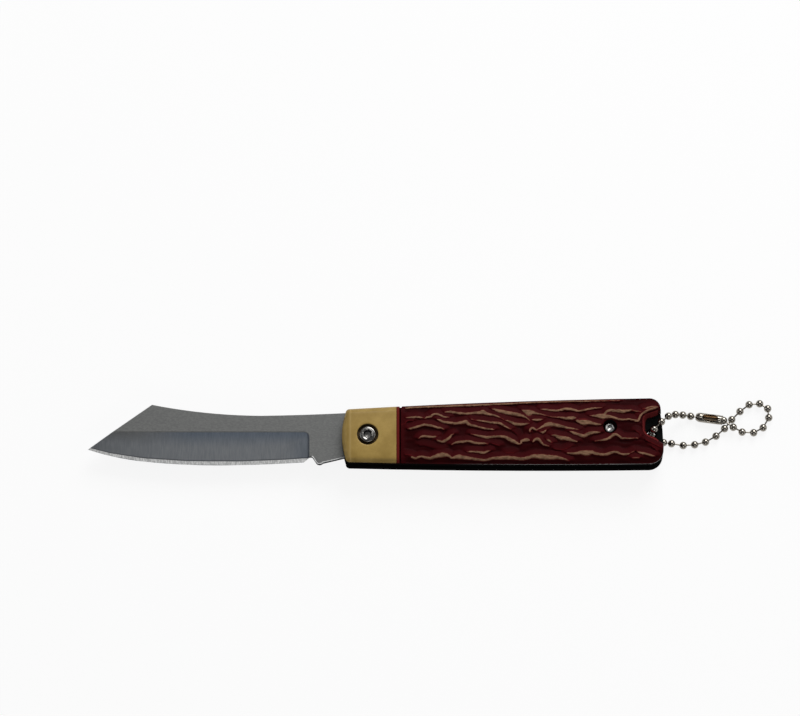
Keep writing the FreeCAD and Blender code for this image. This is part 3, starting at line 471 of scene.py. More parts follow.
class Scale:
    """A moulded scale with its bark carved into the CAD face, so that nothing stands above that face."""

    BOLSTER, GRIP, RECESS, SIDE = range(4)

    def __init__(self, node, outward):
        self.node = node
        self.outward = outward
        self.solid = NODES[node].data
        low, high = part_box(node)
        self.start, self.end = low.x, high.x
        self.inner, self.outer = (low.z, high.z) if outward > 0 else (high.z, low.z)
        self.outline = divided(longest_edge(self.solid, self.inner), EDGE_STEP)
        self.recesses = [(PIVOT, *PIVOT_RECESS, seat_depth("front_pivot_screw", PIVOT_SCREW[1])),
                         (TAIL, *TAIL_RECESS, seat_depth("front_tail_screw", TAIL_SCREW[1]))]
        self.mouths = [ring(centre, radius + MOUTH_LIP) for centre, radius, _, _ in self.recesses]
        self.points, self.triangles = self.plan()
        self.heights = self.smoothed(self.face_heights())
        self.paint = self.carve()
        self.rings = [np.column_stack([self.points, self.heights])]
        self.faces = [tuple(t) for t in self.triangles]
        self.close()

    def grid(self, step, low, high):
        return grid_points(self.outline, self.mouths, step, low, high)

    def plan(self):
        """Points and triangles of the outer face."""
        columns = [SEAM + share * SEAM_WIDTH for share in SEAM_COLUMN_SHARES]
        columns += [RED_EDGE, RED_EDGE + RED_STEP]
        columns += [CREASE + step for step in CREASE_COLUMNS]
        points = [self.grid(BOLSTER_STEP, self.start, RED_EDGE - CLEAR_SHARE * BOLSTER_STEP),
                  self.grid(GRID_STEP, SEAM + 1.8 * SEAM_WIDTH, self.end)]
        before = SEAM - SEAM_WIDTH
        strip = self.grid(GRID_STEP, before, before + CLEAR_SHARE * GRID_STEP)
        for column in columns:
            points.append(np.stack([np.full(len(strip), column), strip[:, 1]], axis=1))
        return plane_mesh([self.outline, *self.mouths], np.vstack(points))

    def face_heights(self):
        """The CAD face's height under each point, taken a little inside the edges."""
        tree = BVHTree.FromPolygons([v.co for v in self.solid.vertices],
                                    [p.vertices[:] for p in self.solid.polygons])
        cast = self.points.copy()
        along = np.roll(self.outline, -1, axis=0) - np.roll(self.outline, 1, axis=0)
        normal = np.stack([-along[:, 1], along[:, 0]], axis=1) / np.hypot(*along.T)[:, None]
        first = len(self.outline)
        cast[:first] += CAST_INSET * normal
        for (centre, radius, _, _), mouth in zip(self.recesses, self.mouths):
            cast[first:first + len(mouth)] = ring(centre, radius + MOUTH_LIP + CAST_INSET)
            first += len(mouth)
        in_groove = (cast[:, 0] > GROOVE_START) & (cast[:, 0] < GROOVE_END)
        cast[in_groove, 0] = GROOVE_START
        heights = np.full(len(cast), self.inner)
        for k, (x, y) in enumerate(cast):
            above = Vector((x, y, self.outer + self.outward * CAST_RISE))
            hit = tree.ray_cast(above, Vector((0, 0, -self.outward)))[0]
            if hit is not None:
                heights[k] = hit.z
        return heights

    def smoothed(self, heights):
        """Heights averaged with their neighbours, but not on the edges."""
        sides = np.vstack([self.triangles[:, pair] for pair in ([0, 1], [1, 2], [2, 0])])
        sides = np.unique(np.sort(sides, axis=1), axis=0)
        degree = np.maximum(np.bincount(sides.ravel(), minlength=len(heights)), 1)
        edge_count = len(self.outline) + sum(len(m) for m in self.mouths)
        for _ in range(SMOOTHING):
            total = np.bincount(sides[:, 0], heights[sides[:, 1]], len(heights))
            total += np.bincount(sides[:, 1], heights[sides[:, 0]], len(heights))
            heights[edge_count:] = (total / degree)[edge_count:]
        return heights

    def carve(self):
        """Cuts bark, seam and crown into the heights, and gives the paint's values."""
        x, y = self.points.T
        z = self.heights
        relief, wiped = bark(x, y)
        relief = PLAIN_RELIEF + (relief - PLAIN_RELIEF) * smooth_step((x - SEAM - PLAIN_STRIP) / PLAIN_FADE)
        grip = smooth_step((x - SEAM - 0.3 * SEAM_WIDTH) / (1.2 * SEAM_WIDTH))
        groove = smooth_step(1.0 - np.abs((x - SEAM) / SEAM_WIDTH - 0.5) / 0.75)
        drop = np.maximum(BARK_DEPTH * (1.0 - relief) * grip, SEAM_DEPTH * groove)
        edge_x, edge_y = self.outline.T
        middle = (edge_y.min() + edge_y.max()) / 2
        drop += CROWN * np.clip(np.abs(y - middle) / (edge_y.max() - middle), 0.0, 1.0) ** 2
        room = smooth_step((np.abs(z - self.inner) - SIDE_HEIGHT) / SIDE_FADE)
        self.heights = z - self.outward * drop * room

        # Painted light: the notch's walls under its lip are drawn lighter.
        sunk = smooth_step((np.abs(z - self.outer) - LIP_START) / LIP_FADE)
        notched = ((x > NOTCH_START) & (x < self.end - NOTCH_END)
                   & (y > NOTCH_SIDES[0]) & (y < NOTCH_SIDES[1]))
        red = (1.0 - smooth_step((x - SEAM) / RED_FADE)) * (x > RED_EDGE)
        # Painted highlight along the belly's rim, towards the tail.
        rim = np.zeros(len(x))
        rim[:len(edge_x)] = smooth_step((edge_x - SEAM) / RIM_FADE) * (edge_y < middle - RIM_DROP)
        # Painted highlight along the bolster's crease.
        crease = np.exp(-((x - CREASE) / CREASE_WIDTH) ** 2)
        return {"red": red, "wiped": wiped * grip, "relief": relief, "groove": groove, "rim": rim,
                "lip": sunk * notched, "crease": crease}

    def add_ring(self, loop, level):
        first = sum(len(r) for r in self.rings)
        self.rings.append(np.column_stack([loop, np.broadcast_to(level, len(loop))]))
        return np.arange(first, first + len(loop))

    def bridge(self, a, b):
        for k in range(len(a)):
            after = (k + 1) % len(a)
            self.faces.append((a[k], a[after], b[after], b[k]))

    def close(self):
        """Adds the sides, the recesses with their bores, and the inner face."""
        first = len(self.outline)
        foot = self.add_ring(self.outline, self.inner)
        self.bridge(np.arange(first), foot)
        inner_rings, bores = [foot], []
        for (centre, radius, bore, depth), mouth in zip(self.recesses, self.mouths):
            last = np.arange(first, first + len(mouth))
            first += len(mouth)
            mouth_level = self.heights[last]
            seat = self.outer - self.outward * depth
            hole = ring(centre, bore)
            steps = [(ring(centre, radius + out * MOUTH_LIP), mouth_level - self.outward * down * MOUTH_LIP)
                     for out, down in MOUTH_SHARES]
            for loop, level in (*steps, (ring(centre, radius), seat), (hole, seat), (hole, self.inner)):
                deeper = self.add_ring(loop, level)
                self.bridge(last, deeper)
                last = deeper
            inner_rings.append(last)
            bores.append(hole)
        _, lid = plane_mesh([self.outline, *bores], np.zeros((0, 2)))
        numbers = np.concatenate(inner_rings)
        self.faces.extend(tuple(numbers[t]) for t in lid)

    def look_of(self, face):
        place = face.center
        height = abs(place.z - self.inner)
        # Low side faces take the look painted black as shade.
        side_height = SIDE_HEIGHT if self.outward > 0 else REAR_SIDE_HEIGHT
        if height < ON_LEVEL or (height < side_height and abs(face.normal.z) < SIDE_TILT):
            return self.SIDE
        # Below its mouth, the pivot recess's wall takes the painted shade.
        centre, radius, _, _ = self.recesses[0]
        off = math.hypot(place.x - centre.x, place.y - centre.y)
        if off < 1.001 * radius and abs(place.z - self.outer) > RECESS_START:
            return self.RECESS
        return self.GRIP if place.x > RED_EDGE else self.BOLSTER

    def mesh(self, looks):
        """The closed mesh, with the paint's values as attributes and a look on each face."""
        verts = np.vstack(self.rings)
        made = bpy.data.meshes.new(self.node + "_moulding")
        made.from_pydata(verts.tolist(), [], self.faces)
        for name, values in self.paint.items():
            layer = made.attributes.new(name, "FLOAT", "POINT")
            full = np.full(len(verts), RECESS_RELIEF if name == "relief" else 0.0, np.float32)
            full[:len(values)] = values
            layer.data.foreach_set("value", full)
        bm = bmesh.new()
        bm.from_mesh(made)
        bmesh.ops.delete(bm, geom=[v for v in bm.verts if not v.link_faces], context="VERTS")
        bmesh.ops.remove_doubles(bm, verts=bm.verts, dist=WELD)
        bmesh.ops.dissolve_degenerate(bm, edges=bm.edges, dist=NO_LENGTH)
        bmesh.ops.recalc_face_normals(bm, faces=bm.faces)
        bm.to_mesh(made)
        bm.free()
        made.shade_smooth()
        made.set_sharp_from_angle(angle=SCALE_SHARP)
        for look in looks:
            made.materials.append(look)
        for face in made.polygons:
            face.material_index = self.look_of(face)
        return made


def new_object(name, data):
    made = bpy.data.objects.new(name, data)
    bpy.context.scene.collection.objects.link(made)
    return made


def moulded_scale(node, outward, looks):
    """A scale's piece; looks are for bolster, grip, pivot recess and sides, the last two as painted shade.
    """
    piece = new_object(node + "_bark", Scale(node, outward).mesh(looks))
    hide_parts(node)
    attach(piece, "handle")


def add_piece(name, bm, looks, stands_for, body):
    """A piece from a bmesh, which takes a node's place and rides on its body."""
    made = bpy.data.meshes.new(name)
    bm.to_mesh(made)
    bm.free()
    for look in looks:
        made.materials.append(look)
    piece = new_object(name, made)
    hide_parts(stands_for)
    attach(piece, body)
    return piece


def highlight_rim(bm, half, middle):
    """Cuts a narrow rim into the blade's flats along choil and kick, and marks it for the painted
    highlight.
    """
    bm.normal_update()
    for face in bm.faces:
        face.material_index = 0
    flats = [f for f in bm.faces
             if abs(f.normal.z) > FLAT_NORMAL and abs(f.verts[0].co.z - middle) > 0.99 * half]
    cuts = (((KICK_LEFT, 0, 0), (1, 0, 0)), ((KICK_RIGHT, 0, 0), (1, 0, 0)), ((0, KICK_TOP, 0), (0, 1, 0)))
    for place, way in cuts:
        edges = dict.fromkeys(e for f in flats for e in f.edges)
        verts = dict.fromkeys(v for f in flats for v in f.verts)
        cut = bmesh.ops.bisect_plane(bm, geom=[*verts, *edges, *flats], dist=WELD, plane_co=place,
                                     plane_no=way)
        flats = [f for f in cut["geom"] if isinstance(f, bmesh.types.BMFace)]

    def in_zone(face, margin):
        at = face.calc_center_median()
        return KICK_LEFT + margin < at.x < KICK_RIGHT - margin and at.y < KICK_TOP - margin

    zone = [f for f in flats if in_zone(f, 0.0)]
    inset = bmesh.ops.inset_region(bm, faces=zone, thickness=BRIGHT_RIM, use_even_offset=True)
    for face in inset["faces"]:
        face.material_index = int(in_zone(face, BRIGHT_RIM))


def blade_kind(face, middle):
    """What a face of the blade is, told by its tilt and by its place."""
    tilt = abs(face.normal.z)
    if tilt > FLAT_NORMAL:
        return "flat"
    if all(abs(v.co.z - middle) < HONED_HALF for v in face.verts):
        return "honed"
    if tilt > 0.9:
        return "ground"
    return "corner" if tilt > 0.3 else "side"


def steel_blade(looks):
    """The CAD blade with its corners broken; looks are for the ground faces, the painted highlight on honed
    strip, rim and front corners, and the painted shade on the sides.
    """
    low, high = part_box("blade")
    middle = (low.z + high.z) / 2
    half = (high.z - low.z) / 2
    bm = bmesh.new()
    bm.from_mesh(NODES["blade"].data)
    bmesh.ops.remove_doubles(bm, verts=bm.verts, dist=WELD)
    bmesh.ops.dissolve_limit(bm, angle_limit=MERGE_ANGLE, verts=bm.verts, edges=bm.edges)
    bm.normal_update()
    corners = []
    for edge in bm.edges:
        full = all(abs(v.co.z - middle) > 0.98 * half for v in edge.verts)
        upright = sum(abs(f.normal.z) < 0.5 for f in edge.link_faces)
        if full and upright == 1 and edge.calc_length() > 2 * BLADE_CHAMFER:
            corners.append(edge)
    bmesh.ops.bevel(bm, geom=corners, offset=BLADE_CHAMFER, offset_type="OFFSET", segments=1, profile=0.5,
                    affect="EDGES", clamp_overlap=True)
    highlight_rim(bm, half, middle)
    bmesh.ops.triangulate(bm, faces=bm.faces)
    bm.normal_update()
    kinds = {face: blade_kind(face, middle) for face in bm.faces}
    # Honed strip, choil-and-kick rim and corners facing the front take the painted highlight; sides and
    # other corners take the painted shade.
    for face, kind in kinds.items():
        painted_highlight = kind == "flat" and face.material_index == 1
        highlighted_corner = kind == "corner" and face.normal.y < -0.2
        bright = kind == "honed" or painted_highlight or highlighted_corner
        face.material_index = 1 if bright else 2 if kind in ("side", "corner") else 0
        face.smooth = True
    for edge in bm.edges:
        same = len({kinds[f] for f in edge.link_faces}) == 1
        edge.smooth = same and edge.calc_face_angle(0.0) < BLADE_SHARP
    add_piece("blade_steel_body", bm, looks, "blade", "blade")


def turned_rings(bm, centre, up, rings):
    """Joins rings of points round an upright axis; a ring is a height and a radius for each angle."""
    loops = []
    for height, radius in rings:
        loop = []
        for k in range(SCREW_POINTS):
            turn = 2 * math.pi * k / SCREW_POINTS
            r = radius(turn) if callable(radius) else radius
            loop.append(bm.verts.new((centre.x + r * math.cos(turn), centre.y + r * math.sin(turn),
                                      height * up)))
        loops.append(loop)
    for lower, upper in zip(loops, loops[1:]):
        for k in range(SCREW_POINTS):
            after = (k + 1) % SCREW_POINTS
            bm.faces.new((lower[k], lower[after], upper[after], upper[k]))
    bm.faces.new(loops[0])
    bm.faces.new(loops[-1])


def socket_screw(node, up, sizes, looks):
    """A round-head screw: rounded edge, countersunk hex socket and a drilled floor."""
    head, head_height, edge, width, depth, shank = (s * MM for s in sizes)
    low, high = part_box(node)
    centre = (low + high) / 2
    top = high.z if up > 0 else -low.z
    end = low.z if up > 0 else -high.z
    base = top - head_height

    def hexagon(turn):
        return width / 2 / math.cos((turn - math.pi / 2) % (math.pi / 3) - math.pi / 6)

    dome = top - 0.2 * edge
    rings = [(end, 0.8 * shank), (end + 0.2 * shank, shank), (base, shank), (base, head)]
    for share in (0.0, 0.25, 0.5, 0.75, 1.0):
        turn = share * math.pi / 2
        rings.append((dome - edge + edge * math.sin(turn), head - edge + edge * math.cos(turn)))
    sink = 0.07 * width
    floor = top - depth
    rings += [(top, 0.68 * width), (top - sink, hexagon), (floor, hexagon), (floor, 0.4 * width),
              (floor - 0.12 * width, 0.02 * width)]
    bm = bmesh.new()
    turned_rings(bm, centre, up, rings)
    bmesh.ops.recalc_face_normals(bm, faces=bm.faces)
    bmesh.ops.triangulate(bm, faces=[f for f in bm.faces if len(f.verts) > 4])
    for face in bm.faces:
        middle = face.calc_center_median()
        reach = math.hypot(middle.x - centre.x, middle.y - centre.y)
        height = up * middle.z
        # The socket's walls take the painted shade.
        socket = base < height < top - 1.02 * sink and 0.3 * width < reach < 0.7 * width
        face.material_index = int(socket)
    piece = add_piece(node + "_button", bm, looks, node, "handle")
    piece.data.shade_smooth()
    piece.data.set_sharp_from_angle(angle=SCREW_SHARP)


def coupling_section(share, length):
    """The rolled sheet's radius and half its gap's angle, at a share of its length."""
    along = share * length
    closed = 1.0 - min(along / END_ROUND, 1.0)
    radius = SHEET_RADIUS * (1.0 - 0.42 * closed ** 2.2)
    radius -= CRIMP_DEPTH * math.exp(-((length - along) / CRIMP_WIDTH - 1.6) ** 2)
    window = 1.0 - ((share - WINDOW_SHARES[0]) / WINDOW_SHARES[1]) ** 2
    gap = SHEET_SLIT + (SHEET_OPEN - SHEET_SLIT) * math.sqrt(max(window, 0.0))
    return radius, math.asin(min(gap / 2 / radius, 0.95))


def sheet_coupling(looks):
    """The chain's coupling: rolled sheet with a rounded end, a slit along its top and a long window."""
    places = [sum(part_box(ball), Vector()) / 2 for ball in COUPLED_BALLS]
    way = (places[1] - places[0]).normalized()
    side = Vector((0, 0, 1)).cross(way).normalized()
    up = way.cross(side)
    foot = places[0] - SHEET_LIP * way
    length = (places[1] - foot).length - SHEET_GAP
    bm = bmesh.new()
    rows = []
    for k in range(SHEET_ROWS + 1):
        share = k / SHEET_ROWS
        radius, half = coupling_section(share, length)
        row = []
        for j in range(SHEET_TURNS + 1):
            turn = half + (2 * math.pi - 2 * half) * j / SHEET_TURNS
            outward = math.sin(turn) * side + math.cos(turn) * up
            row.append(bm.verts.new(foot + share * length * way + radius * outward))
        rows.append(row)
    for row, after in zip(rows, rows[1:]):
        for j in range(SHEET_TURNS):
            face = bm.faces.new((row[j], after[j], after[j + 1], row[j + 1]))
            face.smooth = True
    bmesh.ops.recalc_face_normals(bm, faces=bm.faces)
    if bm.faces[0].normal.dot(bm.faces[0].calc_center_median() - foot) < 0:
        bmesh.ops.reverse_faces(bm, faces=bm.faces)
    piece = add_piece("chain_coupling_sheet", bm, looks, "chain_connector", "chain")
    wall = piece.modifiers.new("wall", "SOLIDIFY")
    wall.thickness = SHEET_WALL
    wall.offset = -1.0
    wall.material_offset = 1
    wall.material_offset_rim = 0


class Look:
    """A node material with one principled shader; constants are set on its own sockets."""

    def __init__(self, name, **sockets):
        self.material = bpy.data.materials.new(name)
        self.material.use_nodes = True
        self.tree = self.material.node_tree
        self.shader = self.tree.nodes["Principled BSDF"]
        for socket, value in sockets.items():
            self.shader.inputs[socket.replace("_", " ")].default_value = value

    def node(self, kind, inputs=(), **settings):
        node = self.tree.nodes.new("ShaderNode" + kind)
        for key, value in settings.items():
            setattr(node, key, value)
        for key, value in dict(inputs).items():
            self.plug(node.inputs[key], value)
        return node

    def plug(self, socket, value):
        if isinstance(value, bpy.types.NodeSocket):
            self.tree.links.new(value, socket)
        else:
            socket.default_value = value

    def attribute(self, name):
        return self.node("Attribute", attribute_name=name).outputs["Fac"]

    def noise(self, scale, detail=4.0, rough=0.55, stretch=(1, 1, 1)):
        """Noise over the object's own coordinates, in features per metre along each axis."""
        where = self.node("TexCoord").outputs["Object"]
        scaled = self.node("Mapping", {"Vector": where, "Scale": [s * scale for s in stretch]})
        texture = self.node("TexNoise", {"Vector": scaled.outputs[0], "Scale": 1.0, "Detail": detail,
                                         "Roughness": rough})
        return texture.outputs["Fac"]

    def math(self, operation, a, b=0.0, clamp=False):
        return self.node("Math", {0: a, 1: b}, operation=operation, use_clamp=clamp).outputs[0]

    def span(self, value, low, high, to_low=0.0, to_high=1.0):
        node = self.node("MapRange", {"Value": value, "From Min": low, "From Max": high, "To Min": to_low,
                                      "To Max": to_high}, interpolation_type="SMOOTHSTEP")
        return node.outputs["Result"]

    def mix(self, factor, a, b):
        """Two colours mixed; the node takes colours at sockets 6 and 7 and gives one at 2."""
        return self.node("Mix", {0: factor, 6: a, 7: b}, data_type="RGBA").outputs[2]

    def bump(self, height, distance, strength=1.0):
        node = self.node("Bump", {"Height": height, "Distance": distance, "Strength": strength})
        self.plug(self.shader.inputs["Normal"], node.outputs["Normal"])

    def set(self, socket, value):
        self.plug(self.shader.inputs[socket], value)


def rgb(r, g, b):
    """A colour given as 0 to 255 on the screen, as the shader's own numbers."""
    def linear(v):
        v = v / 255.0
        return v / 12.92 if v <= 0.04045 else ((v + 0.055) / 1.055) ** 2.4
    return (linear(r), linear(g), linear(b), 1.0)


def scale_look():
    look = Look("scale_bark", Specular_IOR_Level=0.02)
    grain = look.noise(1500.0, 5.0, 0.6, (0.45, 1, 1))
    broad = look.noise(140.0, 3.0)
    deep = look.mix(look.span(look.attribute("relief"), 0.0, 0.8), rgb(38, 5, 6), rgb(60, 10, 13))
    deep = look.mix(look.span(broad, 0.35, 0.7, 0.0, 0.5), deep, rgb(46, 6, 9))
    streak = look.mix(look.span(grain, 0.3, 0.7), rgb(94, 71, 54), rgb(139, 106, 83))
    worn = look.math("MULTIPLY", look.attribute("wiped"), look.span(grain, 0.25, 0.6, 0.7, 1.15))
    grip = look.mix(look.span(worn, 0.02, 0.3), deep, rgb(86, 21, 23))
    grip = look.mix(look.span(worn, 0.3, 0.7), grip, streak)
    grip = look.mix(look.attribute("red"), grip, rgb(98, 30, 27))
    # Painted light on the walls of the tail notch.
    grip = look.mix(look.span(look.attribute("lip"), 0.1, 0.9, 0.0, 0.75), grip, rgb(116, 42, 42))
    # Painted highlight along the belly's rim.
    grip = look.mix(look.span(look.attribute("rim"), 0.2, 0.9, 0.0, 0.8), grip, rgb(150, 154, 152))
    look.set("Base Color", look.mix(look.attribute("groove"), grip, rgb(24, 5, 6)))
    look.set("Roughness", look.span(grain, 0.2, 0.8, 0.42, 0.56))
    look.bump(look.noise(5200.0, 3.0, 0.6), 0.02 * MM, 0.35)
    return look.material


def bolster_look():
    look = Look("scale_tan", Specular_IOR_Level=0.2)
    broad = look.noise(140.0, 3.0)
    fine = look.noise(2400.0, 4.0, 0.6)
    tan = look.mix(look.span(broad, 0.3, 0.7), rgb(149, 123, 64), rgb(173, 145, 81))
    tan = look.mix(look.span(fine, 0.3, 0.8, 0.0, 0.35), tan, rgb(146, 118, 61))
    # Painted highlight along the crease.
    painted_highlight = look.math("MULTIPLY", look.attribute("crease"), 0.3)
    look.set("Base Color", look.mix(painted_highlight, tan, rgb(205, 178, 124)))
    look.set("Roughness", look.span(fine, 0.2, 0.8, 0.3, 0.42))
    look.bump(fine, 0.012 * MM, 0.3)
    return look.material


def speckled_look(name, dark, bright, rough, scale, grit=0.6, stretch=(1, 1, 1), tones=(0.3, 0.7),
                  spread=(0.2, 0.8), bump=(0.01 * MM, 0.3), **sockets):
    """A finish of fine specks between two tones."""
    look = Look(name, **sockets)
    speck = look.noise(scale, 4.0, grit, stretch)
    look.set("Base Color", look.mix(look.span(speck, *tones), dark, bright))
    look.set("Roughness", look.span(speck, *spread, *rough))
    if bump:
        look.bump(speck, *bump)
    return look.material


# Painted shade: the pivot recess's wall in a darker tan.
def recess_shade_look():
    return speckled_look("scale_recess_painted_shade", rgb(66, 52, 30), rgb(90, 70, 41), (0.45, 0.6), 2400.0, bump=None,
                         Specular_IOR_Level=0.2)


def blade_look():
    """Ground steel; the ground bevel is told from the flats by its depth under them."""
    look = Look("blade_ground_steel", Metallic=1.0)
    low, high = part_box("blade")
    half = (high.z - low.z) / 2
    place = look.node("SeparateXYZ", {"Vector": look.node("TexCoord").outputs["Object"]}).outputs
    off = look.math("ABSOLUTE", look.math("SUBTRACT", place["Z"], (low.z + high.z) / 2))
    flat = look.span(off, half - 0.045 * MM, half - 0.005 * MM)
    lines = look.noise(1.0, 4.0, 0.65, (4200, 300, 400))
    mottle = look.noise(1.0, 4.0, 0.6, (1300, 2600, 1300))
    satin = look.mix(look.span(mottle, 0.3, 0.7), rgb(116, 117, 116), rgb(128, 129, 127))
    ground = look.mix(look.span(lines, 0.25, 0.75), rgb(140, 144, 148), rgb(156, 159, 162))
    # Painted shade: bluer and darker under the grind line and by the plunge, and fading out towards the
    # point.
    upper = look.span(off, 0.5 * half, half)
    plunge = look.span(place["X"], BEVEL_END - 9.0 * MM, BEVEL_END)
    blue = look.math("MAXIMUM", look.math("MULTIPLY", plunge, 0.6), upper)
    fade = look.span(place["X"], low.x + 10.0 * MM, low.x + 34.0 * MM)
    blue = look.math("MULTIPLY", blue, look.math("ADD", 0.25, look.math("MULTIPLY", fade, 0.75)))
    cool = look.mix(look.span(lines, 0.25, 0.75), rgb(108, 118, 130), rgb(124, 133, 144))
    ground = look.mix(blue, ground, cool)
    soft = look.math("MULTIPLY", upper, look.math("SUBTRACT", 0.8, look.math("MULTIPLY", fade, 0.8)))
    ground = look.mix(soft, ground, satin)
    # Painted shadow in the hollow by the plunge.
    shade = look.span(place["X"], BEVEL_END - 1.0 * MM, BEVEL_END - 0.1 * MM, 0.0, 0.55)
    ground = look.mix(shade, ground, rgb(78, 83, 90))
    line = look.span(off, HONED_HALF, HONED_HALF + 0.05 * MM, 0.6, 0.0)
    ground = look.mix(line, ground, rgb(70, 72, 76))
    look.set("Base Color", look.mix(flat, ground, satin))
    look.set("Roughness", look.span(lines, 0.25, 0.75, 0.36, 0.44))
    look.bump(lines, 0.006 * MM, 0.25)
    return look.material


# Painted highlight: the honed strip, rim and front corners drawn near white.
def honed_look():
    return speckled_look("blade_honed_edge", rgb(186, 187, 186), rgb(242, 242, 240), (0.3, 0.45), 1.0, 0.7,
                         (2600, 900, 900), (0.35, 0.7), (0.25, 0.75), Metallic=0.2)


# Painted shade: the blade's sides and back-facing corners drawn dark.
def blade_side_shade_look():
    return speckled_look("blade_side_painted_shade", rgb(38, 39, 42), rgb(58, 60, 63), (0.45, 0.6), 1.0, 0.65,
                         (3000, 3000, 500), spread=(0.25, 0.75), Metallic=0.15, Specular_IOR_Level=0.0)


def scale_side_shade_look():
    """The moulding's lower sides, painted near black as shade, like the liners next to them."""
    return speckled_look("scale_side_painted_shade", rgb(16, 14, 14), rgb(28, 25, 25), (0.45, 0.6), 2200.0,
                         bump=(0.012 * MM, 0.3), Specular_IOR_Level=0.0)


def liner_look():
    return speckled_look("liner_blackened_steel", rgb(12, 13, 13), rgb(23, 24, 24), (0.32, 0.5), 2600.0,
                         tones=(0.3, 0.75), Specular_IOR_Level=0.0)


def metal_look(name, dark, bright, rough_low, rough_high, scale=1800.0, stretch=(1, 1, 1)):
    return speckled_look(name, dark, bright, (rough_low, rough_high), scale, stretch=stretch,
                         tones=(0.25, 0.75), bump=(0.006 * MM, 0.25), Metallic=1.0)


def dress(material, names, edge=0.0):
    for name in names:
        node = NODES[name]
        node.data.materials.clear()
        node.data.materials.append(material)
        if edge:
            weld = node.modifiers.new("weld", "WELD")
            weld.merge_threshold = WELD
            bevel = node.modifiers.new("edge", "BEVEL")
            bevel.width = edge
            bevel.segments = 2
            bevel.limit_method = "ANGLE"
            bevel.angle_limit = EDGE_ANGLE
            bevel.harden_normals = False


def build():
    scale_looks = (bolster_look(), scale_look(), recess_shade_look(), scale_side_shade_look())
    for node, outward in (("front_scale", 1), ("rear_scale", -1)):
        moulded_scale(node, outward, scale_looks)
    steel_blade((blade_look(), honed_look(), blade_side_shade_look()))
    dress(liner_look(), ["front_liner", "rear_liner"], LINER_EDGE)
    steel = metal_look("fastener_polished_steel", rgb(122, 120, 116), rgb(142, 140, 136), 0.18, 0.28)
    # Painted light: the tail screws in a lighter steel, so they stay bright deep in their recesses.
    lit_tail_steel = metal_look("fastener_steel_painted_light", rgb(196, 196, 192), rgb(222, 222, 218), 0.24, 0.36)
    # Painted shade: the hex sockets' walls drawn near black.
    socket_shade = metal_look("socket_steel_painted_shade", rgb(20, 20, 20), rgb(36, 36, 35), 0.3, 0.45)
    for name, sizes, metal in (("pivot", PIVOT_SCREW, steel), ("tail", TAIL_SCREW, lit_tail_steel)):
        socket_screw(f"front_{name}_screw", 1, sizes, (metal, socket_shade))
        socket_screw(f"rear_{name}_screw", -1, sizes, (metal, socket_shade))
    dress(steel, [n for n in NODES if n.endswith("_pin") or n.endswith("_barrel")], PIN_EDGE)
    brushed = metal_look("spring_steel", rgb(120, 120, 120), rgb(150, 150, 150), 0.3, 0.45, 1.0,
                         (150, 4000, 4000))
    dress(brushed, ["back_spring"], SPRING_EDGE)
    dress(metal_look("washer_brass", rgb(170, 138, 72), rgb(196, 164, 92), 0.3, 0.45),
          ["front_pivot_washer", "rear_pivot_washer"])
    nickel = metal_look("chain_nickel_plate", rgb(134, 129, 120), rgb(158, 153, 144), 0.06, 0.14)
    inside_look = metal_look("coupling_inside", rgb(112, 97, 80), rgb(144, 128, 108), 0.1, 0.18)
    sheet_coupling((nickel, inside_look))
    dress(nickel, [n for n in NODES if n.startswith("chain_") and n != "chain_connector"])


# The view: the knife lies flat and is seen from nearly above, through a long lens.
LENS = 280.0
SENSOR = 36.0
PHOTO_SIZE = (800, 716)
ELEVATION = math.radians(76.7)
CLIP_START = 0.01

# The studio: the floor, each lamp's place, size and power, and the light from all round.
FLOOR_REACH = 2.5
FLOOR_GAP = 0.02 * MM
LAMPS = {
    "key": ((0.3, 0.8, 0.75), 0.7, 10.5),
    "front": ((0.2, -0.75, 0.6), 0.5, 1.1),
    "top": ((-0.1, 0.3, 0.95), 0.3, 0.33),
    "left": ((-0.9, 0.05, 0.5), 0.6, 1.5),
    "right": ((0.9, 0.1, 0.5), 0.6, 1.6),
}
WORLD_COLOUR = (0.12, 0.12, 0.125, 1.0)


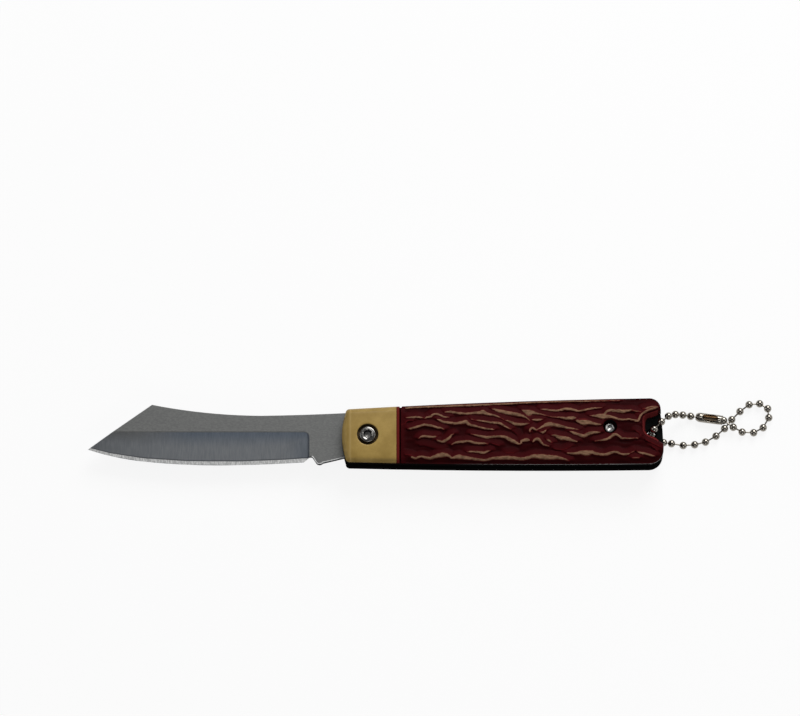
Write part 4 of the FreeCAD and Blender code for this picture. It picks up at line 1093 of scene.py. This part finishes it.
def add_camera():
    camera = bpy.data.cameras.new("camera")
    camera.lens = LENS
    camera.sensor_width = SENSOR
    camera.clip_start = CLIP_START
    holder = new_object("camera", camera)
    back = Vector((0.0, -math.cos(ELEVATION), math.sin(ELEVATION)))
    depth = LENS / SENSOR * PHOTO_SIZE[0] / PHOTO_ALONG
    aim = Vector((PIVOT.x + (PHOTO_SIZE[0] / 2 - PHOTO_PIVOT[0]) / PHOTO_ALONG,
                  PIVOT.y + (PHOTO_PIVOT[1] - PHOTO_SIZE[1] / 2) / PHOTO_ALONG / math.sin(ELEVATION),
                  CAD_BOX[1].z))
    holder.location = aim + (depth + aim.y * math.cos(ELEVATION)) * back
    holder.rotation_euler = (-back).to_track_quat("-Z", "Y").to_euler()
    bpy.context.scene.camera = holder


def add_floor():
    floor_mesh = bpy.data.meshes.new("floor")
    level = CAD_BOX[0].z - FLOOR_GAP
    corners = [(-1, -1), (1, -1), (1, 1), (-1, 1)]
    corners = [(x * FLOOR_REACH, y * FLOOR_REACH, level) for x, y in corners]
    floor_mesh.from_pydata(corners, [], [(0, 1, 2, 3)])
    floor = new_object("floor", floor_mesh)
    floor_mesh.materials.append(floor_look())


def stage():
    add_camera()
    add_floor()
    for name, (place, size, power) in LAMPS.items():
        lamp(name, place, size, power)
    world = bpy.data.worlds.new("studio")
    bpy.context.scene.world = world
    world.use_nodes = True
    world.node_tree.nodes["Background"].inputs["Color"].default_value = WORLD_COLOUR
    bpy.context.scene.view_settings.view_transform = "Standard"


def floor_look():
    """A white floor that keeps a soft shadow."""
    look = Look("floor_white")
    tree = look.tree
    path = look.node("LightPath")
    seen = look.math("ADD", path.outputs["Is Camera Ray"], path.outputs["Is Glossy Ray"])
    seen = look.math("ADD", seen, path.outputs["Is Transmission Ray"], True)
    tint = look.mix(seen, (0.42, 0.42, 0.42, 1.0), (0.95, 0.95, 0.95, 1.0))
    diffuse = look.node("BsdfDiffuse", {"Color": tint})
    glow = look.node("Emission", {"Color": (1.0, 1.0, 1.0, 1.0), "Strength": 1.0})
    share = look.math("MULTIPLY", seen, 0.88)
    mixed = look.node("MixShader", {0: share, 1: diffuse.outputs[0], 2: glow.outputs[0]})
    tree.links.new(mixed.outputs[0], tree.nodes["Material Output"].inputs["Surface"])
    tree.nodes.remove(look.shader)
    return look.material


def lamp(name, place, size, power):
    data = bpy.data.lights.new(name, "AREA")
    data.size = size
    data.energy = power
    holder = new_object(name, data)
    holder.location = place
    holder.rotation_euler = (-Vector(place)).to_track_quat("-Z", "Y").to_euler()


build()
stage()
